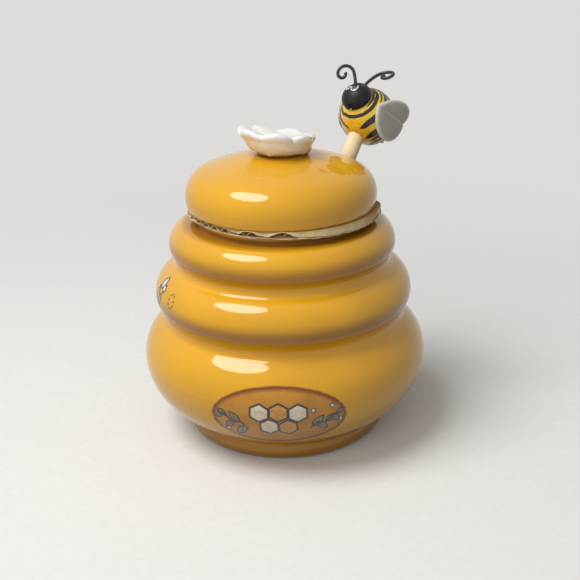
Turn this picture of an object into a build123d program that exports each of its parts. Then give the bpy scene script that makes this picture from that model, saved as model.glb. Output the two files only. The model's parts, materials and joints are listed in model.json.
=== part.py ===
"""Beehive honey pot with a lift-off lid, a daisy knob, a bee dipper and a corrugated packing ring.

Millimetres. The origin is on the pot's axis, on the surface that it stands on, with +Z up and the pot's
painted front towards -Y. The dipper leans out through a slot in the lid, in the upright plane at
dipper_azimuth. Pot, packing ring, lid and dipper each lift off the one below.
"""
import os
from math import cos, radians, sin, sqrt, tan

from build123d import *

# ---- Pot: three stacked rings on a foot, cast with one wall -------------------------------------------
belly_radius = 69.0            # widest ring
belly_height = 39.5            # height of its widest line
belly_upper_round = 20.4
belly_lower_round = 30.3
belly_turn = 50.5              # degrees below the widest line where the undercut starts
undercut_round = 66.6
middle_radius = 62.0
middle_step = 31.4             # up from the widest line below
middle_upper_round = 13.5
middle_lower_round = 13.0
top_radius = 54.2
top_step = 23.7
top_upper_round = 10.4
top_lower_round = 7.5
groove_blend = 4.0             # hollow between two rings
foot_radius = 49.4
foot_round = 5.6
foot_blend = 1.2
foot_inside = 40.0             # inner edge of the standing ring
foot_recess = 2.0
pot_wall = 4.5
pot_floor = 7.0                # height of the inside floor
neck_radius = 40.6
neck_height = 3.9              # rim above the top ring's shoulder
mouth_radius = 36.5
rim_round = 1.5

# ---- Packing ring of single-wall corrugated board -----------------------------------------------------
board_radius = 45.0
board_shift = (2.2, 0.5)       # the ring was cut by hand and sits off centre
board_hole_clearance = 1.2     # hole around the lid's flange
board_thickness = 2.9
liner_thickness = 0.35
flute_pitch = 6.35             # B flute
flute_paper = 0.3
flute_gap = 0.02               # glue line between a flute crest and its liner
flute_azimuth = 39.7           # the way the flutes run
seat_gap = 0.1                 # loose pieces that rest on each other

# ---- Lid: hollow bun with a locating flange -----------------------------------------------------------
lid_radius = 45.3
lid_belly = 5.6                # widest line above the lid's underside
lid_lower_round = 17.0
lid_shoulder_round = 13.3
lid_dome_round = 105.0
lid_wall = 4.2
lid_edge_round = 1.2
flange_clearance = 0.9         # flange inside the pot's mouth
flange_wall = 3.6
flange_depth = 9.9
slot_clearance = 1.5           # each side of the dipper's stick
slot_inner = 32.6              # inner end of the slot, from the lid's axis
notch_clearance = 2.6          # wider gap in the flange, each side of the stick

# ---- Daisy knob ---------------------------------------------------------------------------------------
petal_count = 7
petal_radius = 8.0
petal_thickness = 3.0
petal_reach = 10.6             # petal centres, from the middle of the petals
petal_lift = 5.3               # and above the lid's top
petal_cup = 24.0               # degrees that each petal rises outwards
petal_first = -90.0            # azimuth of the first petal
petal_lean = -2.0              # the petals' middle, from the pot's axis along X
knob_base_radius = 12.9
knob_wall_radius = 17.0        # cup between the petals
knob_swell_radius = 15.7       # and halfway up its side
knob_wall = 0.9
knob_rise = 7.6                # top of the cup's side, above the lid's top
knob_floor = 2.0               # floor inside
knob_floor_radius = 4.0
knob_gap = 1.0                 # shadow gap under the base
knob_stem_radius = 9.5
knob_tilt = 5.6                # set on by hand, lower towards knob_tilt_azimuth
knob_tilt_azimuth = 45.0

# ---- Dipper -------------------------------------------------------------------------------------------
dipper_azimuth = 35.0
dipper_lean = 28.7
dipper_rim_reach = 29.9        # stick's axis from the pot's axis, at the height of the rim
stick_diameter = 7.94          # 5/16 inch dowel
stick_fit = 0.05
head_radius = 11.0
head_length = 30.0             # from the centre of the round nose to the collar
head_core_radius = 5.6
head_ring_count = 6
head_ring_thickness = 2.5
head_taper = 2.2               # how much the last ring is smaller than the first
collar_radius = 5.6
head_bore_depth = 14.0
head_rest_gap = 0.3            # nose above the pot's floor

# ---- Bee on the end of the stick ----------------------------------------------------------------------
bee_reach = 44.05              # bee's centre along the stick, above the rim
bee_offset = 4.1               # outwards from the stick's axis
bee_side = 2.3                 # and to the back of it
bee_tilt = 38.3                # of the bee's length from upright
bee_heading = 225.8            # azimuth that its head points to
bee_half_length = 14.4
bee_body_radius = 13.5
bee_socket_depth = 8.0         # stick beyond the belly's skin
sting_length = 4.6
sting_base_radius = 4.0
sting_tip_radius = 0.9
bee_head_reach = 13.96
bee_head_half_length = 5.8
bee_head_radius = 7.5

wing_root = (10.6, 0.0, 11.7)  # forward, up the back, out to the side
wing_splay = 9.65              # degrees that the wings stand off towards the tail
wing_thickness = 2.6
wing_edge_round = 1.1
# Each lobe is a skin round circles in the wing's own plane: forward of the root, up, radius.
upper_lobe = ((-4.1, 2.1, 3.5), (-10.0, 5.5, 6.3), (-13.4, 8.6, 5.1), (-15.6, 6.7, 3.0))
lower_lobe = ((-2.3, 0.7, 2.1), (-7.5, -0.6, 5.3), (-13.5, -1.2, 7.1), (-17.4, 2.2, 3.2))

antenna_wire = 1.3
antenna_fit = 0.05
antenna_socket = 2.2
# Each antenna: root on the head (forward, up the back, to the far side), which way its bending plane
# faces (azimuth, elevation), first heading in that plane, side that it curls to, and its bends as
# (radius, turn in degrees).
far_antenna = ((18.96, 3.1, 0.5), (-90.0, 21.5), 87.0, 1,
               ((21.1, 18.0), (3.9, 144.0), (3.4, 29.0), (1.87, 193.0)))
near_antenna = ((17.06, 5.4, -2.7), (-137.8, 69.1), 107.0, -1,
                ((22.9, 24.0), (5.7, 84.0), (2.95, 195.0), (1.5, 130.0)))

os.makedirs("parts", exist_ok=True)


# ---- Outlines of rounds -------------------------------------------------------------------------------
def blend_centre(upper, upper_round, lower, lower_round, blend):
    """Centre of the hollow that touches an upper and a lower round from outside."""
    reach_up = upper_round + blend
    reach_down = lower_round + blend
    across = lower - upper
    apart = across.length
    along = (reach_up**2 + apart**2 - reach_down**2) / (2 * apart)
    out = sqrt(reach_up**2 - along**2)
    step = across.normalized()
    side = Vector(-step.Y, step.X) if -step.Y > 0 else Vector(step.Y, -step.X)
    return upper + step * along + side * out


def stack(rounds, inset):
    """Arcs through a chain of rounds, each (centre, radius, bulges, from, to); inset runs inside it."""
    for centre, radius, bulges, start, end in rounds:
        size = radius - inset if bulges else radius + inset
        middle = (start + end).normalized()
        ThreePointArc(centre + start * size, centre + middle * size, centre + end * size)


def point_at_height(centre, radius, height):
    """Outer point of a round at a height."""
    return Vector(centre.X + sqrt(radius**2 - (height - centre.Y) ** 2), height)


OUT = Vector(1, 0)
UP = Vector(0, 1)
DOWN = Vector(0, -1)
TURN = Vector(cos(radians(belly_turn)), -sin(radians(belly_turn)))

middle_height = belly_height + middle_step
top_height = middle_height + top_step
foot_c = Vector(foot_radius - foot_round, foot_round)
belly_low_c = Vector(belly_radius - belly_lower_round, belly_height)
belly_up_c = Vector(belly_radius - belly_upper_round, belly_height)
undercut_c = belly_low_c + TURN * (belly_lower_round - undercut_round)
middle_low_c = Vector(middle_radius - middle_lower_round, middle_height)
middle_up_c = Vector(middle_radius - middle_upper_round, middle_height)
top_low_c = Vector(top_radius - top_lower_round, top_height)
top_up_c = Vector(top_radius - top_upper_round, top_height)

foot_hollow = blend_centre(undercut_c, undercut_round, foot_c, foot_round, foot_blend)
low_hollow = blend_centre(middle_low_c, middle_lower_round, belly_up_c, belly_upper_round, groove_blend)
high_hollow = blend_centre(top_low_c, top_lower_round, middle_up_c, middle_upper_round, groove_blend)


def towards(start, end):
    """Unit step from one centre to another."""
    return (end - start).normalized()


foot_rounds = [
    (foot_c, foot_round, True, DOWN, towards(foot_c, foot_hollow)),
    (foot_hollow, foot_blend, False, towards(foot_hollow, foot_c), towards(foot_hollow, undercut_c)),
    (undercut_c, undercut_round, True, towards(undercut_c, foot_hollow), TURN),
]
ring_rounds = [
    (belly_low_c, belly_lower_round, True, TURN, OUT),
    (belly_up_c, belly_upper_round, True, OUT, towards(belly_up_c, low_hollow)),
    (low_hollow, groove_blend, False, towards(low_hollow, belly_up_c), towards(low_hollow, middle_low_c)),
    (middle_low_c, middle_lower_round, True, towards(middle_low_c, low_hollow), OUT),
    (middle_up_c, middle_upper_round, True, OUT, towards(middle_up_c, high_hollow)),
    (high_hollow, groove_blend, False, towards(high_hollow, middle_up_c), towards(high_hollow, top_low_c)),
    (top_low_c, top_lower_round, True, towards(top_low_c, high_hollow), OUT),
    (top_up_c, top_upper_round, True, OUT, UP),
]

# ---- Heights that the pieces share --------------------------------------------------------------------
shoulder_z = top_height + top_upper_round
rim_z = shoulder_z + neck_height
board_z = rim_z + seat_gap
lid_z = board_z + board_thickness + seat_gap
flange_radius = mouth_radius - flange_clearance
flange_inside = flange_radius - flange_wall
flange_z = lid_z - flange_depth
board_hole = flange_radius + board_hole_clearance

# ---- Pot ----------------------------------------------------------------------------------------------
floor_point = point_at_height(undercut_c, undercut_round - pot_wall, pot_floor)
with BuildPart() as pot_body:
    with BuildSketch(Plane.XZ):
        with BuildLine():
            Polyline((0, pot_floor), (0, foot_recess), (foot_inside, foot_recess), (foot_inside, 0),
                     (foot_c.X, 0))
            stack(foot_rounds + ring_rounds, 0)
            Polyline((top_up_c.X, shoulder_z), (neck_radius, shoulder_z), (neck_radius, rim_z),
                     (mouth_radius, rim_z), (mouth_radius, shoulder_z - pot_wall),
                     (top_up_c.X, shoulder_z - pot_wall))
            stack(ring_rounds, pot_wall)
            inside_start = towards(undercut_c, floor_point)
            stack([(undercut_c, undercut_round, True, inside_start, TURN)], pot_wall)
            Line(floor_point, (0, pot_floor))
        make_face()
    revolve(axis=Axis.Z)
    rim_edges = pot_body.edges().filter_by_position(Axis.Z, rim_z - 0.01, rim_z + 0.01)
    fillet(rim_edges, rim_round)
pot_body.part.label = "pot_body"
export_step(pot_body.part, "parts/pot_body.step")

# ---- Packing ring -------------------------------------------------------------------------------------
core_height = board_thickness - 2 * liner_thickness


def board_outline(height):
    """The ring's plan at a height: a round blank with a concentric hole for the flange."""
    with BuildSketch(Plane.XY.offset(height)) as plan:
        with Locations(board_shift):
            Circle(board_radius)
        Circle(board_hole, mode=Mode.SUBTRACT)
    return plan.sketch


with BuildPart() as packing_liner_bottom:
    extrude(board_outline(board_z), amount=liner_thickness)
packing_liner_bottom.part.label = "packing_liner_bottom"
export_step(packing_liner_bottom.part, "parts/packing_liner_bottom.step")

with BuildPart() as packing_liner_top:
    extrude(board_outline(board_z + board_thickness - liner_thickness), amount=liner_thickness)
packing_liner_top.part.label = "packing_liner_top"
export_step(packing_liner_top.part, "parts/packing_liner_top.step")

# The fluting paper is a chain of equal arcs: a crest over each trough, meeting at mid height.
quarter = flute_pitch / 4
swing = (core_height - flute_paper) / 2 - flute_gap
flute_round = (quarter**2 + swing**2) / (2 * swing)
board_span = board_radius + abs(board_shift[0]) + flute_pitch
flute_count = int(board_span / flute_pitch) + 1
core_mid = board_z + board_thickness / 2
flute_plane = Plane(
    origin=(0, 0, core_mid),
    x_dir=(-sin(radians(flute_azimuth)), cos(radians(flute_azimuth)), 0),
    z_dir=(cos(radians(flute_azimuth)), sin(radians(flute_azimuth)), 0),
)


def fluted_edge(side):
    """One face of the wavy paper, from left to right; side is half its thickness up or down."""
    first = -flute_count * 2
    for step in range(first, -first):
        crest = 1 if step % 2 == 0 else -1
        middle = Vector((2 * step + 1) * quarter, crest * (swing - flute_round))
        size = flute_round + crest * side
        lean = Vector(quarter, crest * (flute_round - swing)) * (size / flute_round)
        ThreePointArc(
            middle + Vector(-lean.X, lean.Y), middle + Vector(0, crest * size), middle + lean
        )
    tilt = Vector(quarter, flute_round - swing) * (side / flute_round)
    edge = (2 * first) * quarter
    return Vector(edge - tilt.X, tilt.Y), Vector(-edge + tilt.X * -1, tilt.Y)


with BuildPart() as packing_flutes:
    with BuildSketch(flute_plane):
        with BuildLine():
            top_left, top_right = fluted_edge(flute_paper / 2)
            low_left, low_right = fluted_edge(-flute_paper / 2)
            Line(top_left, low_left)
            Line(top_right, low_right)
        make_face()
    extrude(amount=board_span, both=True)
    extrude(board_outline(board_z + liner_thickness), amount=core_height, mode=Mode.INTERSECT)
packing_flutes.part.label = "packing_flutes"
export_step(packing_flutes.part, "parts/packing_flutes.step")

# ---- Directions of the dipper -------------------------------------------------------------------------
azimuth = radians(dipper_azimuth)
lean = radians(dipper_lean)
outward = Vector(cos(azimuth), sin(azimuth), 0)
stick_dir = outward * sin(lean) + Vector(0, 0, cos(lean))
stick_side = outward * cos(lean) - Vector(0, 0, sin(lean))
rim_point = outward * dipper_rim_reach + Vector(0, 0, rim_z)
stick_radius = stick_diameter / 2
slot_half = stick_radius + slot_clearance
notch_half = stick_radius + notch_clearance
slot_plane = Plane(origin=(0, 0, 0), x_dir=outward, z_dir=(0, 0, 1))

# ---- Lid ----------------------------------------------------------------------------------------------
lid_wide_z = lid_z + lid_belly
lid_low_c = Vector(lid_radius - lid_lower_round, lid_wide_z)
lid_shoulder_c = Vector(lid_radius - lid_shoulder_round, lid_wide_z)
dome_drop = sqrt((lid_dome_round - lid_shoulder_round) ** 2 - lid_shoulder_c.X**2)
dome_c = Vector(0, lid_wide_z - dome_drop)
lid_top_z = dome_c.Y + lid_dome_round
dome_turn = towards(dome_c, lid_shoulder_c)
lid_foot = point_at_height(lid_low_c, lid_lower_round, lid_z)
lid_inner_foot = point_at_height(lid_low_c, lid_lower_round - lid_wall, lid_z + lid_wall)


def lid_rounds(foot):
    """The bun's outline from its underside to its top."""
    return [
        (lid_low_c, lid_lower_round, True, towards(lid_low_c, foot), OUT),
        (lid_shoulder_c, lid_shoulder_round, True, OUT, dome_turn),
        (dome_c, lid_dome_round, True, dome_turn, UP),
    ]


with BuildPart() as lid_shell:
    with BuildSketch(Plane.XZ):
        with BuildLine():
            stack(lid_rounds(lid_foot), 0)
            Line((0, lid_top_z), (0, lid_top_z - lid_wall))
            stack(lid_rounds(lid_inner_foot), lid_wall)
            Polyline(lid_inner_foot, (flange_inside, lid_z + lid_wall), (flange_inside, flange_z),
                     (flange_radius, flange_z), (flange_radius, lid_z), lid_foot)
        make_face()
    revolve(axis=Axis.Z)
    under_edges = lid_shell.edges().filter_by_position(Axis.Z, lid_z - 0.01, lid_z + 0.01)
    fillet(under_edges.sort_by(SortBy.LENGTH)[-1], lid_edge_round)
    # The slot is open to the rim, so that the lid comes off past the stick.
    with BuildSketch(slot_plane.offset(flange_z)):
        with Locations((slot_inner + slot_half, 0)):
            Circle(slot_half)
        with Locations((slot_inner + slot_half, 0)):
            Rectangle(lid_radius, 2 * slot_half, align=(Align.MIN, Align.CENTER))
    extrude(amount=lid_top_z - flange_z, mode=Mode.SUBTRACT)
    with BuildSketch(slot_plane.offset(flange_z)):
        with Locations((flange_inside / 2, 0)):
            Rectangle(lid_radius / 2, 2 * notch_half, align=(Align.MIN, Align.CENTER))
    extrude(amount=flange_depth + 2 * lid_wall, mode=Mode.SUBTRACT)
lid_shell.part.label = "lid_shell"
export_step(lid_shell.part, "parts/lid_shell.step")

# ---- Daisy knob ---------------------------------------------------------------------------------------
tilt_side = radians(knob_tilt_azimuth)
knob_down = Vector(cos(tilt_side), sin(tilt_side), 0)
knob_dir = knob_down * sin(radians(knob_tilt)) + Vector(0, 0, cos(radians(knob_tilt)))
knob_x = knob_down * cos(radians(knob_tilt)) - Vector(0, 0, sin(radians(knob_tilt)))
knob_plane = Plane(origin=(0, 0, lid_top_z), x_dir=knob_x, z_dir=knob_dir)
petals_middle = knob_plane.to_local_coords(Vector(petal_lean, 0, lid_top_z))
petal_half = petal_thickness / 2

with BuildPart() as petal:
    with BuildSketch(Plane.XZ):
        Rectangle(petal_radius - petal_half, petal_thickness, align=(Align.MIN, Align.CENTER))
        with Locations((petal_radius - petal_half, 0)):
            Circle(petal_half)
        Rectangle(petal_radius, petal_thickness, align=(Align.MAX, Align.CENTER), mode=Mode.SUBTRACT)
    revolve(axis=Axis.Z)

with BuildPart() as flower_knob:
    with BuildSketch(knob_plane.offset(knob_gap)):
        Circle(knob_base_radius)
    with BuildSketch(knob_plane.offset((knob_gap + knob_rise) / 2)):
        with Locations((petals_middle.X / 2, petals_middle.Y / 2)):
            Circle(knob_swell_radius)
    with BuildSketch(knob_plane.offset(knob_rise)):
        with Locations((petals_middle.X, petals_middle.Y)):
            Circle(knob_wall_radius)
    loft()
    with BuildSketch(knob_plane.offset(knob_floor)):
        Circle(knob_floor_radius)
    with BuildSketch(knob_plane.offset(knob_rise)):
        with Locations((petals_middle.X, petals_middle.Y)):
            Circle(knob_wall_radius - knob_wall)
    loft(mode=Mode.SUBTRACT)
    with BuildSketch(knob_plane.offset(-knob_gap)):
        Circle(knob_stem_radius)
    extrude(amount=knob_gap + knob_floor)
    for count in range(petal_count):
        spin = petal_first - knob_tilt_azimuth + count * 360 / petal_count
        middle = knob_plane.location * Pos(petals_middle.X, petals_middle.Y, petal_lift) * Rot(0, 0, spin)
        with Locations(middle * Pos(petal_reach, 0, 0) * Rot(0, -petal_cup, 0)):
            add(petal.part)
    add(lid_shell.part, mode=Mode.SUBTRACT)
flower_knob.part.label = "flower_knob"
export_step(flower_knob.part, "parts/flower_knob.step")

# ---- Dipper: turned head on a dowel -------------------------------------------------------------------
nose_z = pot_floor + head_rest_gap + head_radius
nose_point = rim_point - stick_dir * ((rim_z - nose_z) / cos(lean))
dipper_section = Plane(origin=nose_point, x_dir=stick_side, z_dir=stick_side.cross(stick_dir))
dipper_axis = Axis(nose_point, stick_dir)
ring_pitch = (head_length - head_ring_thickness) / head_ring_count
bore_start = head_length - head_bore_depth

with BuildPart() as dipper_head:
    with BuildSketch(dipper_section):
        with BuildLine():
            CenterArc((0, 0), head_radius, -90, 90)
            edge = Vector(head_radius, 0)
            for ring in range(head_ring_count):
                wide = head_radius - head_taper * ring / (head_ring_count - 1)
                next_wide = head_radius - head_taper * (ring + 1) / (head_ring_count - 1)
                top = ring * ring_pitch + head_ring_thickness
                Polyline(edge, (wide, top), (head_core_radius, top),
                         (head_core_radius, (ring + 1) * ring_pitch))
                edge = Vector(head_core_radius, (ring + 1) * ring_pitch)
                if ring < head_ring_count - 1:
                    Line(edge, (next_wide, edge.Y))
                    edge = Vector(next_wide, edge.Y)
            Polyline(edge, (collar_radius, head_length), (0, head_length), (0, -head_radius))
        make_face()
    revolve(axis=dipper_axis)
    with BuildSketch(Plane(origin=nose_point + stick_dir * head_length, z_dir=stick_dir)):
        Circle(stick_radius + stick_fit)
    extrude(amount=-head_bore_depth, mode=Mode.SUBTRACT)
dipper_head.part.label = "dipper_head"
export_step(dipper_head.part, "parts/dipper_head.step")

# ---- Bee ----------------------------------------------------------------------------------------------
back_side = Vector(-sin(azimuth), cos(azimuth), 0)
bee_centre = rim_point + stick_dir * bee_reach + stick_side * bee_offset + back_side * bee_side
head_dir = Vector(
    sin(radians(bee_tilt)) * cos(radians(bee_heading)),
    sin(radians(bee_tilt)) * sin(radians(bee_heading)),
    cos(radians(bee_tilt)),
)
back_dir = (stick_dir - head_dir * stick_dir.dot(head_dir)).normalized()
bee_plane = Plane(origin=bee_centre, x_dir=head_dir, z_dir=head_dir.cross(back_dir))
bee_axis = Axis(bee_centre, head_dir)
stick_top = bee_reach - (bee_body_radius - bee_socket_depth)


def half_ellipse(half_length, radius):
    """Half of an ellipse, to be turned into a solid about its long axis."""
    Ellipse(half_length, radius)
    Rectangle(2 * half_length, radius, align=(Align.CENTER, Align.MAX), mode=Mode.SUBTRACT)


with BuildPart() as dipper_stick:
    with BuildSketch(Plane(origin=nose_point + stick_dir * bore_start, z_dir=stick_dir)):
        Circle(stick_radius)
    stick_length = (rim_point + stick_dir * stick_top - nose_point).length - bore_start
    extrude(amount=stick_length)
dipper_stick.part.label = "dipper_stick"
export_step(dipper_stick.part, "parts/dipper_stick.step")

with BuildPart() as bee_body:
    with BuildSketch(bee_plane):
        half_ellipse(bee_half_length, bee_body_radius)
    revolve(axis=bee_axis)
    # The sting is a short blunt cone at the tail.
    with BuildSketch(bee_plane):
        with BuildLine():
            tail = -bee_half_length
            Polyline((tail + sting_base_radius, 0), (tail - sting_length, 0),
                     (tail - sting_length, sting_tip_radius), (tail + sting_base_radius / 2, sting_base_radius),
                     (tail + sting_base_radius, sting_base_radius), (tail + sting_base_radius, 0))
        make_face()
    revolve(axis=bee_axis)
    with BuildSketch(Plane(origin=rim_point + stick_dir * stick_top, z_dir=stick_dir)):
        Circle(stick_radius + stick_fit)
    extrude(amount=-2 * bee_body_radius, mode=Mode.SUBTRACT)
bee_body.part.label = "bee_body"
export_step(bee_body.part, "parts/bee_body.step")


def facing(azimuth_deg, elevation_deg):
    """Unit step in a direction given by its azimuth and elevation."""
    level = cos(radians(elevation_deg))
    return Vector(level * cos(radians(azimuth_deg)), level * sin(radians(azimuth_deg)), sin(radians(elevation_deg)))


def antenna_frame(antenna):
    """Bending plane of an antenna, with its origin where the wire leaves the head, and its first step."""
    root, faces, heading = antenna[0], antenna[1], antenna[2]
    normal = facing(*faces)
    rise = (Vector(0, 0, 1) - normal * normal.Z).normalized()
    plane = Plane(origin=bee_plane.from_local_coords(Vector(*root)), x_dir=rise.cross(normal), z_dir=normal)
    step = plane.x_dir * cos(radians(heading)) + plane.y_dir * sin(radians(heading))
    return plane, step


face_plane = Plane(origin=bee_centre + head_dir * bee_head_reach, x_dir=head_dir, z_dir=bee_plane.z_dir)
with BuildPart() as bee_head:
    with BuildSketch(face_plane):
        half_ellipse(bee_head_half_length, bee_head_radius)
    revolve(axis=bee_axis)
    add(bee_body.part, mode=Mode.SUBTRACT)
    for antenna in (far_antenna, near_antenna):
        frame, step = antenna_frame(antenna)
        with BuildSketch(Plane(origin=frame.origin - step * antenna_socket, z_dir=step)):
            Circle(antenna_wire / 2 + antenna_fit)
        extrude(amount=2 * antenna_socket, mode=Mode.SUBTRACT)
bee_head.part.label = "bee_head"
export_step(bee_head.part, "parts/bee_head.step")

# ---- Wings --------------------------------------------------------------------------------------------
splay = radians(wing_splay)
side_dir = bee_plane.z_dir * -1
wing_plane = Plane(
    origin=bee_centre + head_dir * wing_root[0] + back_dir * wing_root[1] + side_dir * wing_root[2],
    x_dir=head_dir * cos(splay) - side_dir * sin(splay),
    z_dir=(side_dir * cos(splay) + head_dir * sin(splay)) * -1,
)


def wing_lobe(rounds):
    """One puffy lobe of a wing, with soft edges."""
    with BuildPart() as plate:
        with BuildSketch(wing_plane):
            for forward, up, radius in rounds:
                with Locations((forward, up)):
                    Circle(radius)
            make_hull()
        extrude(amount=wing_thickness / 2, both=True)
        rims = plate.faces().filter_by(Axis(wing_plane.origin, wing_plane.z_dir))
        fillet(rims.edges(), wing_edge_round)
    return plate.part


with BuildPart() as bee_wing_near:
    add(wing_lobe(upper_lobe))
    add(wing_lobe(lower_lobe))
    add(bee_body.part, mode=Mode.SUBTRACT)
bee_wing_near.part.label = "bee_wing_near"
export_step(bee_wing_near.part, "parts/bee_wing_near.step")

with BuildPart() as bee_wing_far:
    add(bee_wing_near.part.mirror(bee_plane))
bee_wing_far.part.label = "bee_wing_far"
export_step(bee_wing_far.part, "parts/bee_wing_far.step")


# ---- Antennae of bent wire ----------------------------------------------------------------------------
def wire_path(antenna):
    """Middle line of an antenna, from the bottom of its socket in the head, bend by bend."""
    plane, step = antenna_frame(antenna)
    heading = antenna[2]
    curl = antenna[3]
    end = Vector(0, 0)
    with BuildLine(plane) as path:
        first = Vector(cos(radians(heading)), sin(radians(heading))) * -antenna_socket
        Line((first.X, first.Y), (end.X, end.Y))
        for radius, turn in antenna[4]:
            out = heading - 90 * curl
            centre = end - Vector(cos(radians(out)), sin(radians(out))) * radius
            CenterArc((centre.X, centre.Y), radius, out, curl * turn)
            heading += curl * turn
            out = heading - 90 * curl
            end = centre + Vector(cos(radians(out)), sin(radians(out))) * radius
    return path.line, Plane(origin=plane.origin - step * antenna_socket, z_dir=step)


with BuildPart() as bee_antenna_far:
    far_path, far_end = wire_path(far_antenna)
    with BuildSketch(far_end):
        Circle(antenna_wire / 2)
    sweep(path=far_path)
bee_antenna_far.part.label = "bee_antenna_far"
export_step(bee_antenna_far.part, "parts/bee_antenna_far.step")

with BuildPart() as bee_antenna_near:
    near_path, near_end = wire_path(near_antenna)
    with BuildSketch(near_end):
        Circle(antenna_wire / 2)
    sweep(path=near_path)
bee_antenna_near.part.label = "bee_antenna_near"
export_step(bee_antenna_near.part, "parts/bee_antenna_near.step")
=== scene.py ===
"""Looks for a beehive honey pot: glazes, painted label, board ring, daisy knob and a bee on its dipper.

The packed CAD model is the frame. Nodes that already have the right shape keep their mesh and get a glaze or wood
finish. The daisy, the wings, the antennae, the board and all brushwork are modelled here around them.
"""

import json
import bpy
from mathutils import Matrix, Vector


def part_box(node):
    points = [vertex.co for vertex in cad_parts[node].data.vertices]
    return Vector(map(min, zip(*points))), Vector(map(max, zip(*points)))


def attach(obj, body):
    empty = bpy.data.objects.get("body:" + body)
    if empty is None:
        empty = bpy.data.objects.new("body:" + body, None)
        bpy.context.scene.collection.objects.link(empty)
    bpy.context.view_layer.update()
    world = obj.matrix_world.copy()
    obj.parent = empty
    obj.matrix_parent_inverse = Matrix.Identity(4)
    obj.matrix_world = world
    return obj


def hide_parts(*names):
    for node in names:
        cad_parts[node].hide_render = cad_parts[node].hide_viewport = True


bl_info = {
    "name": "Beehive Honey Pot",
    "version": (1, 0, 0),
    "blender": (4, 5, 0),
    "location": "View3D > Sidebar > Honey Pot",
    "description": "Builds the visible pieces and finishes of a beehive honey pot around its CAD frame",
    "category": "Object",
}

from math import asin, atan2, cos, degrees, exp, hypot, pi, radians, sin, sqrt

import bpy
from mathutils import Matrix, Vector, noise
from mathutils.bvhtree import BVHTree

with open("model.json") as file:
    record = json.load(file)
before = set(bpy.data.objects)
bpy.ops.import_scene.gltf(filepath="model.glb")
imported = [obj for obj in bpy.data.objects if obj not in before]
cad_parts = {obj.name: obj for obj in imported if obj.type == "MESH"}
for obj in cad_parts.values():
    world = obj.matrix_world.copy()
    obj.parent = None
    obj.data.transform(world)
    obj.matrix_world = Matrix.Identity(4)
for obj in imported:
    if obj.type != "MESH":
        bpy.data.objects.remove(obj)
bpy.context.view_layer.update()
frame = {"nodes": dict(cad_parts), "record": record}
MM = 0.001
TURN = 2 * pi


# ---- Small helpers ------------------------------------------------------------------------------------
def linear(code):
    """The linear colour of an sRGB hex code."""
    values = [int(code[i:i + 2], 16) / 255 for i in (1, 3, 5)]
    return tuple(v / 12.92 if v <= 0.04045 else ((v + 0.055) / 1.055) ** 2.4 for v in values) + (1.0,)


def add(tree, kind, inputs=(), **settings):
    """Adds a node with its settings, and gives its inputs values or links."""
    made = tree.nodes.new(kind)
    for name, value in settings.items():
        setattr(made, name, value)
    for key, value in dict(inputs).items():
        if isinstance(value, bpy.types.NodeSocket):
            tree.links.new(value, made.inputs[key])
        else:
            made.inputs[key].default_value = value
    return made


def put(name, data):
    """A new object at the origin."""
    body = bpy.data.objects.new(name, data)
    bpy.context.scene.collection.objects.link(body)
    return body


def link_mesh(name, points, faces, edges=()):
    """A new smooth mesh object at the origin."""
    mesh = bpy.data.meshes.new(name)
    mesh.from_pydata(points, edges, faces)
    mesh.update()
    mesh.shade_smooth()
    return put(name, mesh)


def shell(rings, looped=False, flip=False):
    """Points and faces of a skin over rings of points that follow each other. A ring of one point is a pole."""
    starts = [0]
    for ring in rings:
        starts.append(starts[-1] + len(ring))
    faces = []
    for a, b in zip(range(len(rings)), [*range(1, len(rings))] + [0] * looped):
        size = max(len(rings[a]), len(rings[b]))
        for k in range(size):
            n = (k + 1) % size
            corners = list(dict.fromkeys(starts[ring] + min(place, len(rings[ring]) - 1)
                                         for ring, place in ((a, k), (a, n), (b, n), (b, k))))
            faces.append(corners[:1] + corners[:0:-1] if flip else corners)
    return [point for ring in rings for point in ring], faces


def mark(body, name, values):
    """Keeps one number for each vertex, for a material to read."""
    body.data.attributes.new(name, "FLOAT", "POINT").data.foreach_set("value", values)


def run_tree(body, tree, sizes):
    """Runs a node tree once on an object and keeps the result as its plain mesh."""
    modifier = body.modifiers.new(tree.name, "NODES")
    modifier.node_group = tree
    for item in tree.interface.items_tree:
        if item.item_type == "SOCKET" and item.in_out == "INPUT" and item.name in sizes:
            modifier[item.identifier] = sizes[item.name]
    graph = bpy.context.evaluated_depsgraph_get()
    plain = bpy.data.meshes.new_from_object(body.evaluated_get(graph), depsgraph=graph)
    body.modifiers.remove(modifier)
    body.data = plain
    plain.name = body.name
    if not plain.polygons:
        raise RuntimeError(f"{body.name} came out empty")


def carried(node):
    """The CAD body that carries a node."""
    return next(name for name, nodes in frame["record"]["behaviour"]["bodies"].items() if node in nodes)


def fit_out(body, node, finish, swap=()):
    """Hangs a finished piece on the body of a CAD node, in place of the swapped nodes."""
    if finish is not None:
        body.data.materials.clear()
        body.data.materials.append(finish)
    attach(body, carried(node))
    if swap:
        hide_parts(*swap)


def dress(node, finish):
    """Gives a CAD node its finish."""
    for place in frame["nodes"][node].material_slots:
        place.link = "OBJECT"
        place.material = finish


def skin_of(node):
    """The surface of a CAD node, for laying paint on."""
    mesh = frame["nodes"][node].data
    mesh.calc_loop_triangles()
    return BVHTree.FromPolygons([v.co for v in mesh.vertices], [t.vertices for t in mesh.loop_triangles])


def toward(angle):
    """Flat unit step at an angle."""
    return Vector((cos(angle), sin(angle)))


def polar(tilt, azimuth):
    """Unit step that leans from upright by tilt towards azimuth."""
    return Vector((sin(tilt) * cos(azimuth), sin(tilt) * sin(azimuth), cos(tilt)))


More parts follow.
